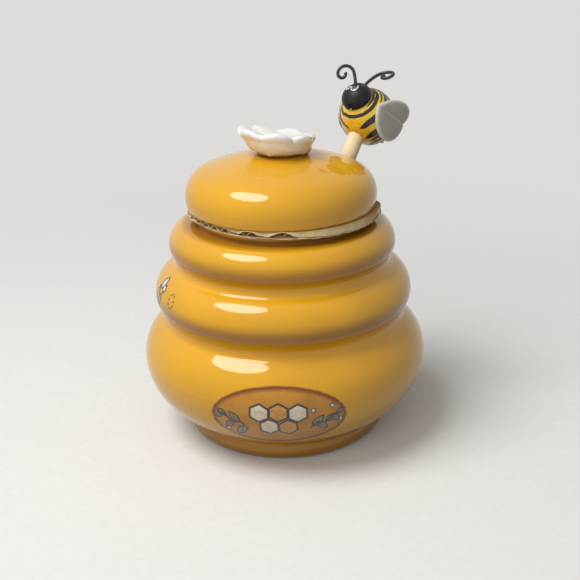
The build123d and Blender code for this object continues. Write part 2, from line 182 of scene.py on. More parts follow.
# ---- The bee's own directions, as in the CAD -----------------------------------------------------------
DIPPER_AZIMUTH = radians(35.0)
DIPPER_LEAN = radians(28.7)
BEE_TILT = radians(38.3)
BEE_HEADING = radians(225.8)
BEE_CENTRE = Vector((43.45, 33.23, 145.57)) * MM
BEE_HALF_LENGTH = 14.4 * MM
BEE_RADIUS = 13.5 * MM
BEE_HEAD_REACH = 13.96 * MM
STICK = polar(DIPPER_LEAN, DIPPER_AZIMUTH)
HEAD = polar(BEE_TILT, BEE_HEADING)
BACK = (STICK - HEAD * STICK.dot(HEAD)).normalized()
NEAR = BACK.cross(HEAD)


def on_bee(forward, around):
    """Point of the bee's body: forward of its middle in mm, and degrees round from its belly to the near wing."""
    turn = radians(around)
    reach = BEE_RADIUS * sqrt(max(0.0, 1 - (forward * MM / BEE_HALF_LENGTH) ** 2))
    return BEE_CENTRE + HEAD * forward * MM + (NEAR * sin(turn) - BACK * cos(turn)) * reach


def on_face(forward, up, near):
    """Point by the bee's head, in mm from the middle of the head."""
    return BEE_CENTRE + HEAD * (BEE_HEAD_REACH + forward * MM) + BACK * up * MM + NEAR * near * MM


# ---- Settings ------------------------------------------------------------------------------------------
def length(name, value, words):
    """A size in millimetres that a user may change."""
    return bpy.props.FloatProperty(name=name, description=words, default=value * MM, unit="LENGTH", precision=5)


def angle(name, value, words):
    """An angle in degrees that a user may change."""
    return bpy.props.FloatProperty(name=name, description=words, default=radians(value), unit="ROTATION")


def number(name, value, words):
    """A plain number that a user may change."""
    return bpy.props.FloatProperty(name=name, description=words, default=value)


def colour(name, code, words):
    """A colour that a user may change, shown on the sRGB picker."""
    return bpy.props.FloatVectorProperty(
        name=name, description=words, default=linear(code), size=4, subtype="COLOR", min=0, max=1
    )


class GlazeSettings(bpy.types.PropertyGroup):
    """Glazes of the pot and its lid."""

    honey: colour("Honey glaze", "#E9AC14", "Clear honey glaze on the swells of the rings")
    # Pooled colour: thicker glaze, and painted shade in the hollows, at the foot and under the board.
    pooled: colour("Pooled glaze", "#8E580C", "The same glaze where it pools thicker between two rings")
    biscuit: colour("Bare foot", "#D9C4A0", "Unglazed standing ring")
    ripple: length("Glaze ripple", 26.0, "Distance between soft waves in the glaze")


class LabelSettings(bpy.types.PropertyGroup):
    """Painted label on the widest ring."""

    azimuth: angle("Place round the pot", -92.6, "Middle of the label")
    height: length("Height", 32.1, "Middle of the label above the table")
    half_width: length("Half width", 32.3, "From the middle of the label to its side")
    half_height: length("Half height", 18.1, "From the middle of the label to its top")
    ground: colour("Ground", "#CC8C28", "Tan ground of the label")
    edge: colour("Edge", "#803C04", "Brown line sprayed round the label")
    line: colour("Line", "#24130A", "Dark brown brush lines")
    leaf: colour("Leaf", "#7A693B", "Thin olive wash on the leaves")
    cream: colour("Cream", "#EBDCC6", "Cream slip in the cells and buds")
    comb: colour("Comb", "#D8962C", "Honey wash in the other cells")
    cell: length("Cell", 4.9, "From the middle of a comb cell to its corner")


class BoardSettings(bpy.types.PropertyGroup):
    """Ring of corrugated board between pot and lid."""

    radius: length("Radius", 45.0, "Outside of the ring")
    shift_x: length("Shift X", 2.2, "How far the ring sits to the right of the pot's axis")
    shift_y: length("Shift Y", 0.5, "How far the ring sits behind the pot's axis")
    paper_thickness: length("Paper thickness", 0.35, "Thickness of a liner")
    paper: colour("Paper", "#CBA96C", "Kraft paper of the liners")
    paper_dark: colour("Fibres", "#8A6E40", "Darker fibres in the kraft paper")
    # Cut-edge colour: fresh paper, and a painted highlight on the lit edge.
    cut: colour("Cut edge", "#E2CD9F", "Fresh paper along the cut edge")


class DaisySettings(bpy.types.PropertyGroup):
    """Daisy knob on the lid."""

    petals: bpy.props.IntProperty(name="Petals", description="Number of petals", default=7, min=3)
    lip: length("Lip", 18.5, "From the middle of the flower to a petal's edge")
    lean: length("Lean", -2.0, "How far the rim sits off the pot's axis along X")
    tilt: angle("Tilt", 5.6, "Lean of the whole flower")
    tilt_azimuth: angle("Tilt towards", 45.0, "Low side of the flower")
    sink: length("Sink", 0.4, "How far the rim sits low in the clay")
    fall_right: number("Fall to the right", 0.045, "Slope of the rim along X")
    fall_back: number("Fall to the back", 0.045, "Slope of the rim along Y")
    nub: angle("Nub", 249.0, "Place of the clay nub under the cup")
    glaze: colour("White glaze", "#F5F4EF", "Opaque white glaze")
    # Thin glaze colour also stands for painted shade and a painted reflection of the honey lid low on the cup.
    thin: colour("Thin glaze", "#C3AA7A", "White glaze where it ran thin over the clay")
    # Honey glaze pooled round the foot, made dark as painted shade in the gap under the cup.
    joint: colour("Joint", "#6E4A18", "Dark honey glaze that pools round the foot")


class BeeSettings(bpy.types.PropertyGroup):
    """Bee on the end of the dipper."""

    yellow: colour("Yellow", "#F3CB2C", "Enamel yellow of the back and sides")
    orange: colour("Orange", "#E8B01C", "Deeper yellow brushed over the belly")
    black: colour("Black", "#17130E", "Brushed stripes")
    face: colour("Face", "#161617", "Glossy charcoal of the head")
    eye: colour("Eye line", "#F0F0EC", "White line round each eye")
    wing: colour("Wing", "#ABA699", "Grey-brown wash on the wings")
    # Wing edge colour: thin wash, and a painted highlight on the rounded rim.
    wing_edge: colour("Wing edge", "#D3D0C6", "Thin wash that shows the white clay along a wing's edges")
    wing_thickness: length("Wing thickness", 3.3, "Thickness of a wing at its middle")
    stripe: length("Stripe", 2.3, "Width of a stripe at its widest")


class WoodSettings(bpy.types.PropertyGroup):
    """Wood of the dipper and wire of the antennae."""

    early: colour("Wood", "#F4E7C2", "Pale birch between the grain lines")
    late: colour("Grain", "#E3CC98", "Darker grain lines")
    grain: length("Grain spacing", 0.9, "Distance between grain lines across the stick")
    wire: colour("Wire", "#1B1B1B", "Black coating of the wire")
    wire_thickness: length("Wire thickness", 1.6, "Thickness of the coated wire")


class StageSettings(bpy.types.PropertyGroup):
    """Camera, floor and lamps."""

    camera_x: length("Camera X", 3.21, "Camera to the right of the pot's axis")
    camera_back: length("Camera distance", 456.93, "Camera in front of the pot's axis")
    camera_height: length("Camera height", 247.19, "Camera above the table")
    camera_pitch: angle("Camera pitch", 21.456, "Angle that the camera looks down")
    camera_roll: angle("Camera roll", -1.237, "Turn about the line of sight")
    lens: number("Lens", 62.07, "Focal length on a 36 mm sensor")
    key: number("Key light", 11.0, "Power of the softbox at the left, in watts")
    front: number("Front light", 15.5, "Power of the wide lamp in front, in watts")
    sky: number("Room light", 0.27, "Strength of the even light all round")
    room: colour("Room", "#F4F3F1", "Tone of the even light all round")
    floor: colour("Floor", "#F4F3F0", "Pale floor")
    floor_fibre: colour("Floor fibre", "#F1F0EC", "Fibres in the floor paper")
    floor_bounce: colour("Floor bounce", "#74716C", "Tone of the floor in the light that it throws back at the pot")
    backdrop: colour("Backdrop", "#DDDCD9", "Pale backdrop that the floor runs into")


# ---- Finishes ------------------------------------------------------------------------------------------
# Colours of the side sprig and the eye discs, and second tones that the other glazes and paints break into.
GROUND_DARK, CREAM_DARK, OLIVE_LIGHT = linear("#B97C20"), linear("#D8C3A4"), linear("#8A8048")
SPRIG_LEAF, SPRIG_LEAF_DARK, WHITE_SLIP = linear("#C2B23A"), linear("#9C9434"), linear("#EFEBDD")
SPRIG_LINE, STRIPE_BROWN, EYE_GREY = linear("#3A2A14"), linear("#20180B"), linear("#D2D2CE")
DISC_GREY, HEAD_RUB, WING_DARK, WIRE_SCUFF = (linear(code) for code in ("#5A5D60", "#2C2D30", "#847F73", "#3A3A39"))

# Share of the darker pooled colour by height, as shares of the height of the rings: thicker glaze and painted shade at
# the foot and in the hollows between rings.
RINGS_HEIGHT = 110 * MM
POOL_AND_SHADE_BY_HEIGHT = ((0.0, 1.0), (0.06, 0.75), (0.16, 0.12), (0.30, 0.0), (0.56, 0.05), (0.62, 0.8), (0.68, 0.05), (0.78, 0.0),
           (0.85, 0.7), (0.91, 0.05), (1.0, 0.0))


def start_finish(name):
    """A new material, its node tree and the coordinates that its patterns use."""
    finish = bpy.data.materials.new(name)
    finish.use_nodes = True
    tree = finish.node_tree
    return finish, tree, add(tree, "ShaderNodeTexCoord").outputs["Object"]


def end_finish(finish, base, look, height=None, depth=0.0, ior=1.5, level=0.5):
    """Sets a material's colour and its look, as (roughness, coat, coat roughness), and dents it by a height between
    0 and 1 to a real depth in mm."""
    tree = finish.node_tree
    shader = tree.nodes["Principled BSDF"]
    tree.links.new(base, shader.inputs["Base Color"])
    sockets = ("Roughness", "Coat Weight", "Coat Roughness", "IOR", "Specular IOR Level")
    for socket, value in zip(sockets, (*look, ior, level)):
        shader.inputs[socket].default_value = value
    if height is not None:
        bump = add(tree, "ShaderNodeBump", {"Height": height, "Distance": depth * MM, "Strength": 1.0})
        for socket in ("Normal", "Coat Normal") if look[1] else ("Normal",):
            tree.links.new(bump.outputs["Normal"], shader.inputs[socket])
    return finish


def speckle(tree, place, spacing, detail=2.0, low=0.35, high=0.65):
    """Soft noise from 0 to 1 whose blotches are about spacing apart."""
    cloud = add(tree, "ShaderNodeTexNoise", {"Vector": place, "Scale": 1 / spacing, "Detail": detail}).outputs["Fac"]
    return add(tree, "ShaderNodeMapRange", {"Value": cloud, "From Min": low, "From Max": high}).outputs[0]


def layered(tree, under, *coats):
    """Lays coats of colour over an under colour. A coat is its colour and the value that gives its share, and may
    add the values at which it starts and is full, and the most that it covers."""
    for coat, share, *fade in coats:
        if fade:
            ends = dict(zip(("From Min", "From Max", "To Max"), fade), Value=share)
            share = add(tree, "ShaderNodeMapRange", ends).outputs[0]
        under = add(tree, "ShaderNodeMix", {"Factor": share, 6: under, 7: coat}, data_type="RGBA").outputs[2]
    return under


def weighed(tree, first, much, second, little):
    """Adds two patterns, each by its own weight."""
    less = add(tree, "ShaderNodeMath", {0: second, 1: little}, operation="MULTIPLY").outputs[0]
    return add(tree, "ShaderNodeMath", {0: first, 1: much, 2: less}, operation="MULTIPLY_ADD").outputs[0]


def height_in(tree, place):
    """Height above the table."""
    return add(tree, "ShaderNodeSeparateXYZ", {"Vector": place}).outputs["Z"]


def from_axis(tree, place):
    """Distance from an upright axis."""
    level = add(tree, "ShaderNodeVectorMath", {0: place, 1: (1, 1, 0)}, operation="MULTIPLY").outputs[0]
    return add(tree, "ShaderNodeVectorMath", {0: level}, operation="LENGTH").outputs["Value"]


def honey_colour(tree, place, glaze):
    """Honey glaze with soft blotches, and a darker pooled colour at the foot and in the hollows between the rings:
    thicker glaze and painted shade.
    """
    level = add(tree, "ShaderNodeMapRange", {"Value": height_in(tree, place), "From Max": RINGS_HEIGHT}).outputs[0]
    # Darker in the hollows and at the foot: pooled glaze with painted shade.
    pool_and_shade_ramp = add(tree, "ShaderNodeValToRGB", {"Fac": level})
    ramp = pool_and_shade_ramp.color_ramp
    ramp.interpolation = "EASE"
    while len(ramp.elements) < len(POOL_AND_SHADE_BY_HEIGHT):
        ramp.elements.new(0.5)
    for stop, (where, share) in zip(ramp.elements, POOL_AND_SHADE_BY_HEIGHT):
        stop.position = where
        stop.color = (share, share, share, 1)
    return layered(tree, glaze.honey, (glaze.pooled, pool_and_shade_ramp.outputs["Color"]),
                   (glaze.pooled, speckle(tree, place, 38 * MM, 1.0), 0.0, 1.0, 0.12))


def under_glaze(finish, tree, place, glaze, base):
    """Clear wet glaze over a colour, with the low waves of a dipped glaze and finer ripples."""
    wave, fine = (speckle(tree, place, size, 0.0, 0.0, 1.0) for size in (glaze.ripple, glaze.ripple / 5))
    return end_finish(finish, base, (0.5, 1.0, 0.03), weighed(tree, wave, 1.0, fine, 0.10), 0.35, level=0.1)


def honey_glaze(glaze):
    """Clear honey glaze dipped on pale earthenware: deep colour under a wet gloss with slow waves."""
    finish, tree, place = start_finish("honey glazed earthenware")
    height, reach = height_in(tree, place), from_axis(tree, place)
    # Glaze pooled in the corner on the top ring's shoulder, made darker there as painted shade under the board: from
    # where in mm it starts to where it is full, going up, going down and going out.
    corner = 1.0
    for value, start, full in ((height, 103.8, 105.4), (height, 107.6, 106.2), (reach, 38.0, 39.5)):
        fade = add(tree, "ShaderNodeMapRange", {"Value": value, "From Min": start * MM, "From Max": full * MM})
        corner = add(tree, "ShaderNodeMath", {0: fade.outputs[0], 1: corner}, operation="MULTIPLY").outputs[0]
    base = layered(tree, honey_colour(tree, place, glaze), (glaze.pooled, corner),
                   (glaze.biscuit, height, 0.9 * MM, 0.4 * MM))
    return under_glaze(finish, tree, place, glaze, base)


def white_glaze(daisy):
    """Opaque white glaze on hand-shaped petals: milky and glossy, darker and warmer low on the cup, as thinner glaze
    with painted shade and a painted reflection of the honey lid, and with dark honey glaze pooled round the foot, made
    dark as painted shade in the gap under the cup.
    """
    finish, tree, place = start_finish("white glazed earthenware")
    height = height_in(tree, place)
    # Low on the cup: thinner glaze, with painted shade and a painted honey reflection; at the foot, painted shade in
    # the gap.
    low = add(tree, "ShaderNodeMapRange", {"Value": height, "From Min": 143.8 * MM, "From Max": 138.0 * MM}).outputs[0]
    ran = add(tree, "ShaderNodeMath", {0: speckle(tree, place, 4 * MM), 1: 0.5, 2: 0.5}, operation="MULTIPLY_ADD")
    share = add(tree, "ShaderNodeMath", {0: low, 1: ran.outputs[0]}, operation="MULTIPLY").outputs[0]
    base = layered(tree, daisy.glaze, (daisy.thin, share), (daisy.joint, height, 137.9 * MM, 137.1 * MM))
    return end_finish(finish, base, (0.28, 0.9, 0.08), speckle(tree, place, 5 * MM, 1.0, 0.0, 1.0), 0.25)


def brushed(name, paint, second=None, depth=0.05, wet=0.9):
    """Ceramic paint laid with a brush under clear glaze: uneven in tone, with faint brush marks."""
    finish, tree, place = start_finish(name)
    thin = speckle(tree, place, 1.6 * MM, 3.0)
    tone = second if second is not None else tuple(c * 0.72 for c in paint[:3]) + (1,)
    return end_finish(finish, layered(tree, paint, (tone, thin)), (0.32, wet, 0.04), thin, depth)


def label_ground(label, glaze):
    """Label sprayed under the glaze: tan ground, a brown line round it, and the honey glaze outside that."""
    finish, tree, place = start_finish("painted label under glaze")
    edge = add(tree, "ShaderNodeAttribute", attribute_name="from_edge").outputs["Fac"]
    soft = weighed(tree, edge, 1.0, speckle(tree, place, 2.4 * MM, 2.0, 0.2, 0.8), 0.5)
    ground = layered(tree, label.ground, (GROUND_DARK, speckle(tree, place, 9 * MM)))
    # The ground is full 3.9 mm in from the edge, and the spray ends 0.6 mm in.
    base = layered(tree, label.edge, (ground, soft, 2.0, 3.9), (honey_colour(tree, place, glaze), soft, 1.5, 0.6))
    return under_glaze(finish, tree, place, glaze, base)


def bee_yellow(bee):
    """Glossy enamel yellow on the bee, brushed deeper over its belly."""
    finish, tree, place = start_finish("yellow enamel on ceramic")
    away = add(tree, "ShaderNodeVectorMath", {0: place, 1: BEE_CENTRE}, operation="SUBTRACT").outputs["Vector"]
    belly = add(tree, "ShaderNodeVectorMath", {0: away, 1: BACK}, operation="DOT_PRODUCT").outputs["Value"]
    low = add(tree, "ShaderNodeMapRange", {"Value": belly, "From Min": 1 * MM, "From Max": -12 * MM}).outputs[0]
    streak = speckle(tree, place, 2.5 * MM)
    base = layered(tree, bee.yellow, (bee.orange, weighed(tree, low, 0.75, streak, 0.25)))
    return end_finish(finish, base, (0.30, 0.9, 0.05), streak, 0.08)


def bee_black(bee):
    """Glossy charcoal enamel on the head, with soft rubbed marks."""
    finish, tree, place = start_finish("black enamel on ceramic")
    rub = speckle(tree, place, 3.0 * MM, 5.0, 0.52, 0.75)
    return end_finish(finish, layered(tree, bee.face, (HEAD_RUB, rub)), (0.5, 0.12, 0.25), rub, 0.05, level=0.25)


def wing_wash(bee):
    """Grey-brown wash over white clay: dark in the middle of a lobe, lighter along edges, as thin wash and a painted
    highlight on the rounded rim, and along the crease.
    """
    finish, tree, place = start_finish("grey wash on ceramic")
    edge, crease = (add(tree, "ShaderNodeAttribute", attribute_name=name).outputs["Fac"] for name in ("edge", "crease"))
    cloud = speckle(tree, place, 3.0 * MM, 3.0, 0.25, 0.75)
    # Lighter along the edges: thin wash and a painted highlight on the rounded rim.
    base = layered(tree, bee.wing, (WING_DARK, cloud, 0.0, 1.0, 0.35), (bee.wing_edge, edge, 0.82, 1.0),
                   (bee.wing_edge, crease))
    return end_finish(finish, base, (0.36, 0.6, 0.12), cloud, 0.12)


def turned_wood(wood):
    """Birch dowel and turned head: pale, dry, with fine lines along the stick."""
    finish, tree, place = start_finish("turned birch")
    for change in ({"Rotation": (0, 0, -DIPPER_AZIMUTH)}, {"Rotation": (0, -DIPPER_LEAN, 0)}, {"Scale": (1, 1, 0.05)}):
        place = add(tree, "ShaderNodeMapping", {"Vector": place, **change}).outputs[0]
    lines = speckle(tree, place, wood.grain, 4.0, 0.38, 0.66)
    share = weighed(tree, lines, 0.6, speckle(tree, place, wood.grain * 5, 1.0), 0.3)
    return end_finish(finish, layered(tree, wood.early, (wood.late, share)), (0.62, 0.0, 0.1), lines, 0.06)


def kraft_board(board):
    """Kraft paper: matt and fibrous, lighter along the cut edge, as fresh paper and as a painted highlight on the lit
    edge. The fibres are drawn 0.8 mm wide so that they show.
    """
    finish, tree, place = start_finish("kraft paper board")
    fibres = speckle(tree, place, 0.8 * MM, 4.0, 0.36, 0.68)
    share = weighed(tree, fibres, 0.5, speckle(tree, place, 7 * MM), 0.3)
    centred = add(tree, "ShaderNodeVectorMath", {0: place, 1: (board.shift_x, board.shift_y, 0)}, operation="SUBTRACT")
    # Lighter towards the cut edge: fresh paper with a painted highlight.
    base = layered(tree, board.paper, (board.paper_dark, share), (
        board.cut, from_axis(tree, centred.outputs[0]), board.radius - 1.0 * MM, board.radius - 0.1 * MM, 0.7))
    return end_finish(finish, base, (0.88, 0.0, 0.1), fibres, 0.10, ior=1.45)


def coated_wire(wood):
    """Iron wire with a thin black coating: satin, with small scuffs where it was bent."""
    finish, tree, place = start_finish("black coated wire")
    scuff = speckle(tree, place, 1.2 * MM, 3.0, 0.5, 0.8)
    return end_finish(finish, layered(tree, wood.wire, (WIRE_SCUFF, scuff)), (0.42, 0.3, 0.25), scuff, 0.04)


def looked_at(tree):
    """1 for what is seen straight on, mirrored in a glaze or through something clear, and 0 for light that spreads."""
    rays, seen = add(tree, "ShaderNodeLightPath").outputs, 0.0
    for kind in ("Is Camera Ray", "Is Glossy Ray", "Is Transmission Ray"):
        seen = add(tree, "ShaderNodeMath", {0: rays[kind], 1: seen}, operation="MAXIMUM").outputs[0]
    return seen


def seen_as(tree, output, share, lit, even):
    """Ends a floor or a world in a mix of its own shader and one of even tone."""
    mixed = add(tree, "ShaderNodeMixShader", {0: share, 1: lit.outputs[0], 2: even.outputs[0]})
    tree.links.new(mixed.outputs[0], tree.nodes[output].inputs["Surface"])


def pale_floor(stage):
    """Pale paper roll: matt by the pot, where it takes the shadow, and even in tone further off."""
    finish, tree, place = start_finish("pale paper roll")
    seen = looked_at(tree)
    paper = layered(tree, stage.floor, (stage.floor_fibre, speckle(tree, place, 4 * MM)))
    end_finish(finish, layered(tree, stage.floor_bounce, (paper, seen)), (0.85, 0.0, 0.1))
    off = add(tree, "ShaderNodeVectorMath", {0: place}, operation="LENGTH").outputs["Value"]
    far = add(tree, "ShaderNodeMapRange", {"Value": off, "From Min": 0.07, "From Max": 0.5},
              interpolation_type="SMOOTHSTEP").outputs[0]
    share = add(tree, "ShaderNodeMath", {0: far, 1: seen}, operation="MULTIPLY").outputs[0]
    even = add(tree, "ShaderNodeEmission", {"Color": stage.backdrop, "Strength": 1.0})
    seen_as(tree, "Material Output", share, tree.nodes["Principled BSDF"], even)
    return finish


# ---- Node trees ----------------------------------------------------------------------------------------
def new_tree(name, inputs, made):
    """A node tree with named inputs, and the sockets by which they come in."""
    tree = bpy.data.node_groups.new(name, "GeometryNodeTree")
    for title, kind in inputs.items():
        tree.interface.new_socket(title, in_out="INPUT", socket_type=f"NodeSocket{kind}")
    tree.interface.new_socket(made, in_out="OUTPUT", socket_type="NodeSocketGeometry")
    return tree, add(tree, "NodeGroupInput").outputs


def end_tree(tree, shape, finish):
    """Ends a tree in a smooth plain mesh with one finish."""
    smooth = add(tree, "GeometryNodeSetShadeSmooth", {"Geometry": shape}).outputs[0]
    real = add(tree, "GeometryNodeRealizeInstances", {"Geometry": smooth}).outputs[0]
    done = add(tree, "GeometryNodeSetMaterial", {"Geometry": real, "Material": finish}).outputs[0]
    add(tree, "NodeGroupOutput", {0: done})
    return tree


def stroke_tree():
    """Node tree that lays a flat bead of paint along lines, square to the surface under them."""
    tree, given = new_tree("Brush stroke", {
        "Lines": "Geometry", "Surface": "Object", "Paint": "Material", "Step": "Float", "Flatness": "Float",
        "Lift": "Float", "Sides": "Int"}, "Paint")
    width = add(tree, "GeometryNodeInputNamedAttribute", {"Name": "width"}, data_type="FLOAT").outputs[0]
    half = add(tree, "ShaderNodeMath", {0: width, 1: 0.5}, operation="MULTIPLY").outputs[0]
    curve = add(tree, "GeometryNodeMeshToCurve", {"Mesh": given["Lines"]}).outputs[0]
    sized = add(tree, "GeometryNodeSetCurveRadius", {"Curve": curve, "Radius": half}).outputs[0]
    even = add(tree, "GeometryNodeResampleCurve", {"Curve": sized, "Length": given["Step"]}, mode="LENGTH").outputs[0]
    under = add(tree, "GeometryNodeObjectInfo", {"Object": given["Surface"]}).outputs["Geometry"]
    nearest = add(tree, "GeometryNodeProximity", {"Geometry": under}, target_element="FACES").outputs["Position"]
    normal = add(tree, "GeometryNodeInputNormal").outputs[0]
    facing = add(tree, "GeometryNodeSampleNearestSurface", {"Mesh": under, "Value": normal},
                 data_type="FLOAT_VECTOR").outputs["Value"]
    rise = add(tree, "ShaderNodeVectorMath", {0: facing, "Scale": given["Lift"]}, operation="SCALE").outputs[0]
    above = add(tree, "ShaderNodeVectorMath", {0: nearest, 1: rise}, operation="ADD").outputs[0]
    laid = add(tree, "GeometryNodeSetPosition", {"Geometry": even, "Position": above}).outputs[0]
    turned = add(tree, "GeometryNodeSetCurveNormal", {"Curve": laid, "Normal": facing}, mode="FREE").outputs[0]
    ring = add(tree, "GeometryNodeCurvePrimitiveCircle", {"Radius": 1.0, "Resolution": given["Sides"]}).outputs[0]
    shape = add(tree, "ShaderNodeCombineXYZ", {"X": given["Flatness"], "Y": 1.0, "Z": 1.0}).outputs[0]
    flat = add(tree, "GeometryNodeTransform", {"Geometry": ring, "Scale": shape}).outputs[0]
    radius = add(tree, "GeometryNodeInputRadius").outputs[0]
    bead = add(tree, "GeometryNodeCurveToMesh", {
        "Curve": turned, "Profile Curve": flat, "Fill Caps": True, "Scale": radius}).outputs[0]
    return end_tree(tree, bead, given["Paint"])


def wire_tree():
    """Node tree that draws a round wire of one thickness along a line."""
    tree, given = new_tree("Bent wire", {
        "Line": "Geometry", "Thickness": "Float", "Step": "Float", "Sides": "Int", "Coating": "Material"}, "Wire")
    curve = add(tree, "GeometryNodeMeshToCurve", {"Mesh": given["Line"]}).outputs[0]
    even = add(tree, "GeometryNodeResampleCurve", {"Curve": curve, "Length": given["Step"]}, mode="LENGTH").outputs[0]
    half = add(tree, "ShaderNodeMath", {0: given["Thickness"], 1: 0.5}, operation="MULTIPLY").outputs[0]
    ring = add(tree, "GeometryNodeCurvePrimitiveCircle", {"Radius": half, "Resolution": given["Sides"]}).outputs[0]
    tube = add(tree, "GeometryNodeCurveToMesh", {"Curve": even, "Profile Curve": ring, "Fill Caps": True}).outputs[0]
    return end_tree(tree, tube, given["Coating"])


# ---- Paint laid on a surface ---------------------------------------------------------------------------
PAINT_LIFT = 0.07 * MM
BELLY_HEIGHT = 39.5 * MM
BELLY_RADIUS = 69.0 * MM
BELLY_LOWER_ROUND = 30.3 * MM
BELLY_UPPER_ROUND = 20.4 * MM
MIDDLE_RING_RADIUS = 62 * MM
OUTSIDE_POT = 80 * MM


def strokes(name, node, paths, paint, step=0.5, flatness=0.16, sides=12):
    """Brush strokes on a CAD node. Each path is a list of (point, width in metres)."""
    points, edges = [], []
    for path in paths:
        edges += [(k, k + 1) for k in range(len(points), len(points) + len(path) - 1)]
        points += path
    body = link_mesh(name, [point for point, width in points], [], edges)
    mark(body, "width", [width for point, width in points])
    tree = bpy.data.node_groups.get("Brush stroke") or stroke_tree()
    run_tree(body, tree, {"Surface": frame["nodes"][node], "Paint": paint, "Step": step * MM,
                          "Flatness": flatness, "Lift": PAINT_LIFT, "Sides": sides})
    fit_out(body, node, None)


def patches(name, node, shapes, place, paint, rings=4, lift=0.08, measure=None):
    """Closed films of paint on a CAD node. Each shape is a middle and a star-shaped outline round it. Rims dip 0.02 mm
    into the glaze and undersides 0.2 mm. A measure gives a number for each flat spot, kept under its own name."""
    verts, faces, measured = [], [], []
    for middle, outline in shapes:
        top, under, flat = [], [], []
        for ring in range(rings + 1):
            share = 1 - (1 - ring / rings) ** 1.5
            row = [middle.lerp(p, share) for p in outline] if ring else [middle]
            rise = lift * MM * min(1.0, (1 - share) * 6) - 0.02 * MM * (ring == rings)
            found = [place(spot) for spot in row]
            top.append([point + normal * rise for point, normal in found])
            under.append([point - normal * 0.2 * MM for point, normal in found])
            flat.append(row)
        points, skin = shell(top + under[::-1], flip=True)
        faces += [[len(verts) + k for k in face] for face in skin]
        verts += points
        if measure:
            measured += [measure(spot) for row in flat + flat[::-1] for spot in row]
    body = link_mesh(name, verts, faces)
    if measure:
        mark(body, measure.__name__, measured)
    fit_out(body, node, paint)


def on_wall(skin, azimuth, height):
    """Where a level ray towards the pot's axis meets its skin, and the way that the skin faces."""
    out = toward(azimuth).to_3d()
    point, normal = skin.ray_cast(out * OUTSIDE_POT + Vector((0, 0, height)), -out)[:2]
    if point is None:
        raise RuntimeError("paint misses the pot")
    return point, normal


def on_belly(skin, label):
    """Turns (across, up) in metres on the label into a place on the widest ring."""
    middle = -BELLY_LOWER_ROUND * asin((BELLY_HEIGHT - label.height) / BELLY_LOWER_ROUND)

    def place(spot):
        rise = middle + spot.y
        bend = BELLY_UPPER_ROUND if rise > 0 else BELLY_LOWER_ROUND
        return on_wall(skin, label.azimuth + spot.x / BELLY_RADIUS, BELLY_HEIGHT + bend * sin(rise / bend))
    return place


def on_ring(skin, azimuth, height):
    """Turns (across, up) in metres into a place on the ring above the widest one."""
    return lambda spot: on_wall(skin, azimuth + spot.x / MIDDLE_RING_RADIUS, height + spot.y)


def between(stops, where):
    """Eased value between (where, value) stops."""
    for (start, low), (end, high) in zip(stops, stops[1:]):
        if where <= end:
            t = max(0.0, (where - start) / (end - start))
            return low + (high - low) * t * t * (3 - 2 * t)
    return stops[-1][1]


def bend_line(points, count=8):
    """A smooth line through a few points."""
    smooth = []
    for k in range(len(points) - 1):
        a, b = points[max(k - 1, 0)], points[k]
        c, d = points[k + 1], points[min(k + 2, len(points) - 1)]
        for i in range(count):
            t = i / count
            smooth.append(0.5 * ((2 * b) + (c - a) * t + (2 * a - 5 * b + 4 * c - d) * t * t
                                 + (3 * b - a - 3 * c + d) * t ** 3))
    smooth.append(points[-1])
    return smooth


def leaf_outline(root, heading, size, wide, count=28):
    """A leaf's middle, and the outline of its pointed blade from its root round."""
    tip, across, outline = root + toward(heading) * size, toward(heading + pi / 2), []
    for k in range(count):
        t = k / count * 2
        share, side = (t, -1) if t < 1 else (2 - t, 1)
        outline.append(root.lerp(tip, share) + across * side * wide / 2 * sin(pi * share ** 0.85))
    return root.lerp(tip, 0.45), outline


def cell_outline(middle, size, lean=0.0, corners=6):
    """A comb cell's middle, and its outline with three points on each side."""
    outline = []
    for k in range(corners):
        a, b = (middle + toward(TURN * j / corners + lean) * size for j in (k + 0.5, k + 1.5))
        outline += [a.lerp(b, t) for t in (0, 1 / 3, 2 / 3)]
    return middle, outline


def drawn(place, line, width, ends=0.45):
    """A stroke along a flat line, thinner towards both ends."""
    last = len(line) - 1
    return [(place(spot)[0], width * (ends + (1 - ends) * sin(pi * (k / last)) ** 0.5)) for k, spot in enumerate(line)]


def outlined(place, shapes, width):
    """A stroke round each closed shape, with its ends overlapped."""
    return [[(place(spot)[0], width) for spot in outline + outline[:2]] for middle, outline in shapes]


# ---- Operators -----------------------------------------------------------------------------------------
class POT_OT_glaze(bpy.types.Operator):
    """Glaze the pot and its lid"""

    bl_idname = "pot.glaze"
    bl_label = "Glaze pot and lid"

    def execute(self, context):
        finish = honey_glaze(context.scene.pot_glaze)
        dress("pot_body", finish)
        dress("lid_shell", finish)
        return {"FINISHED"}


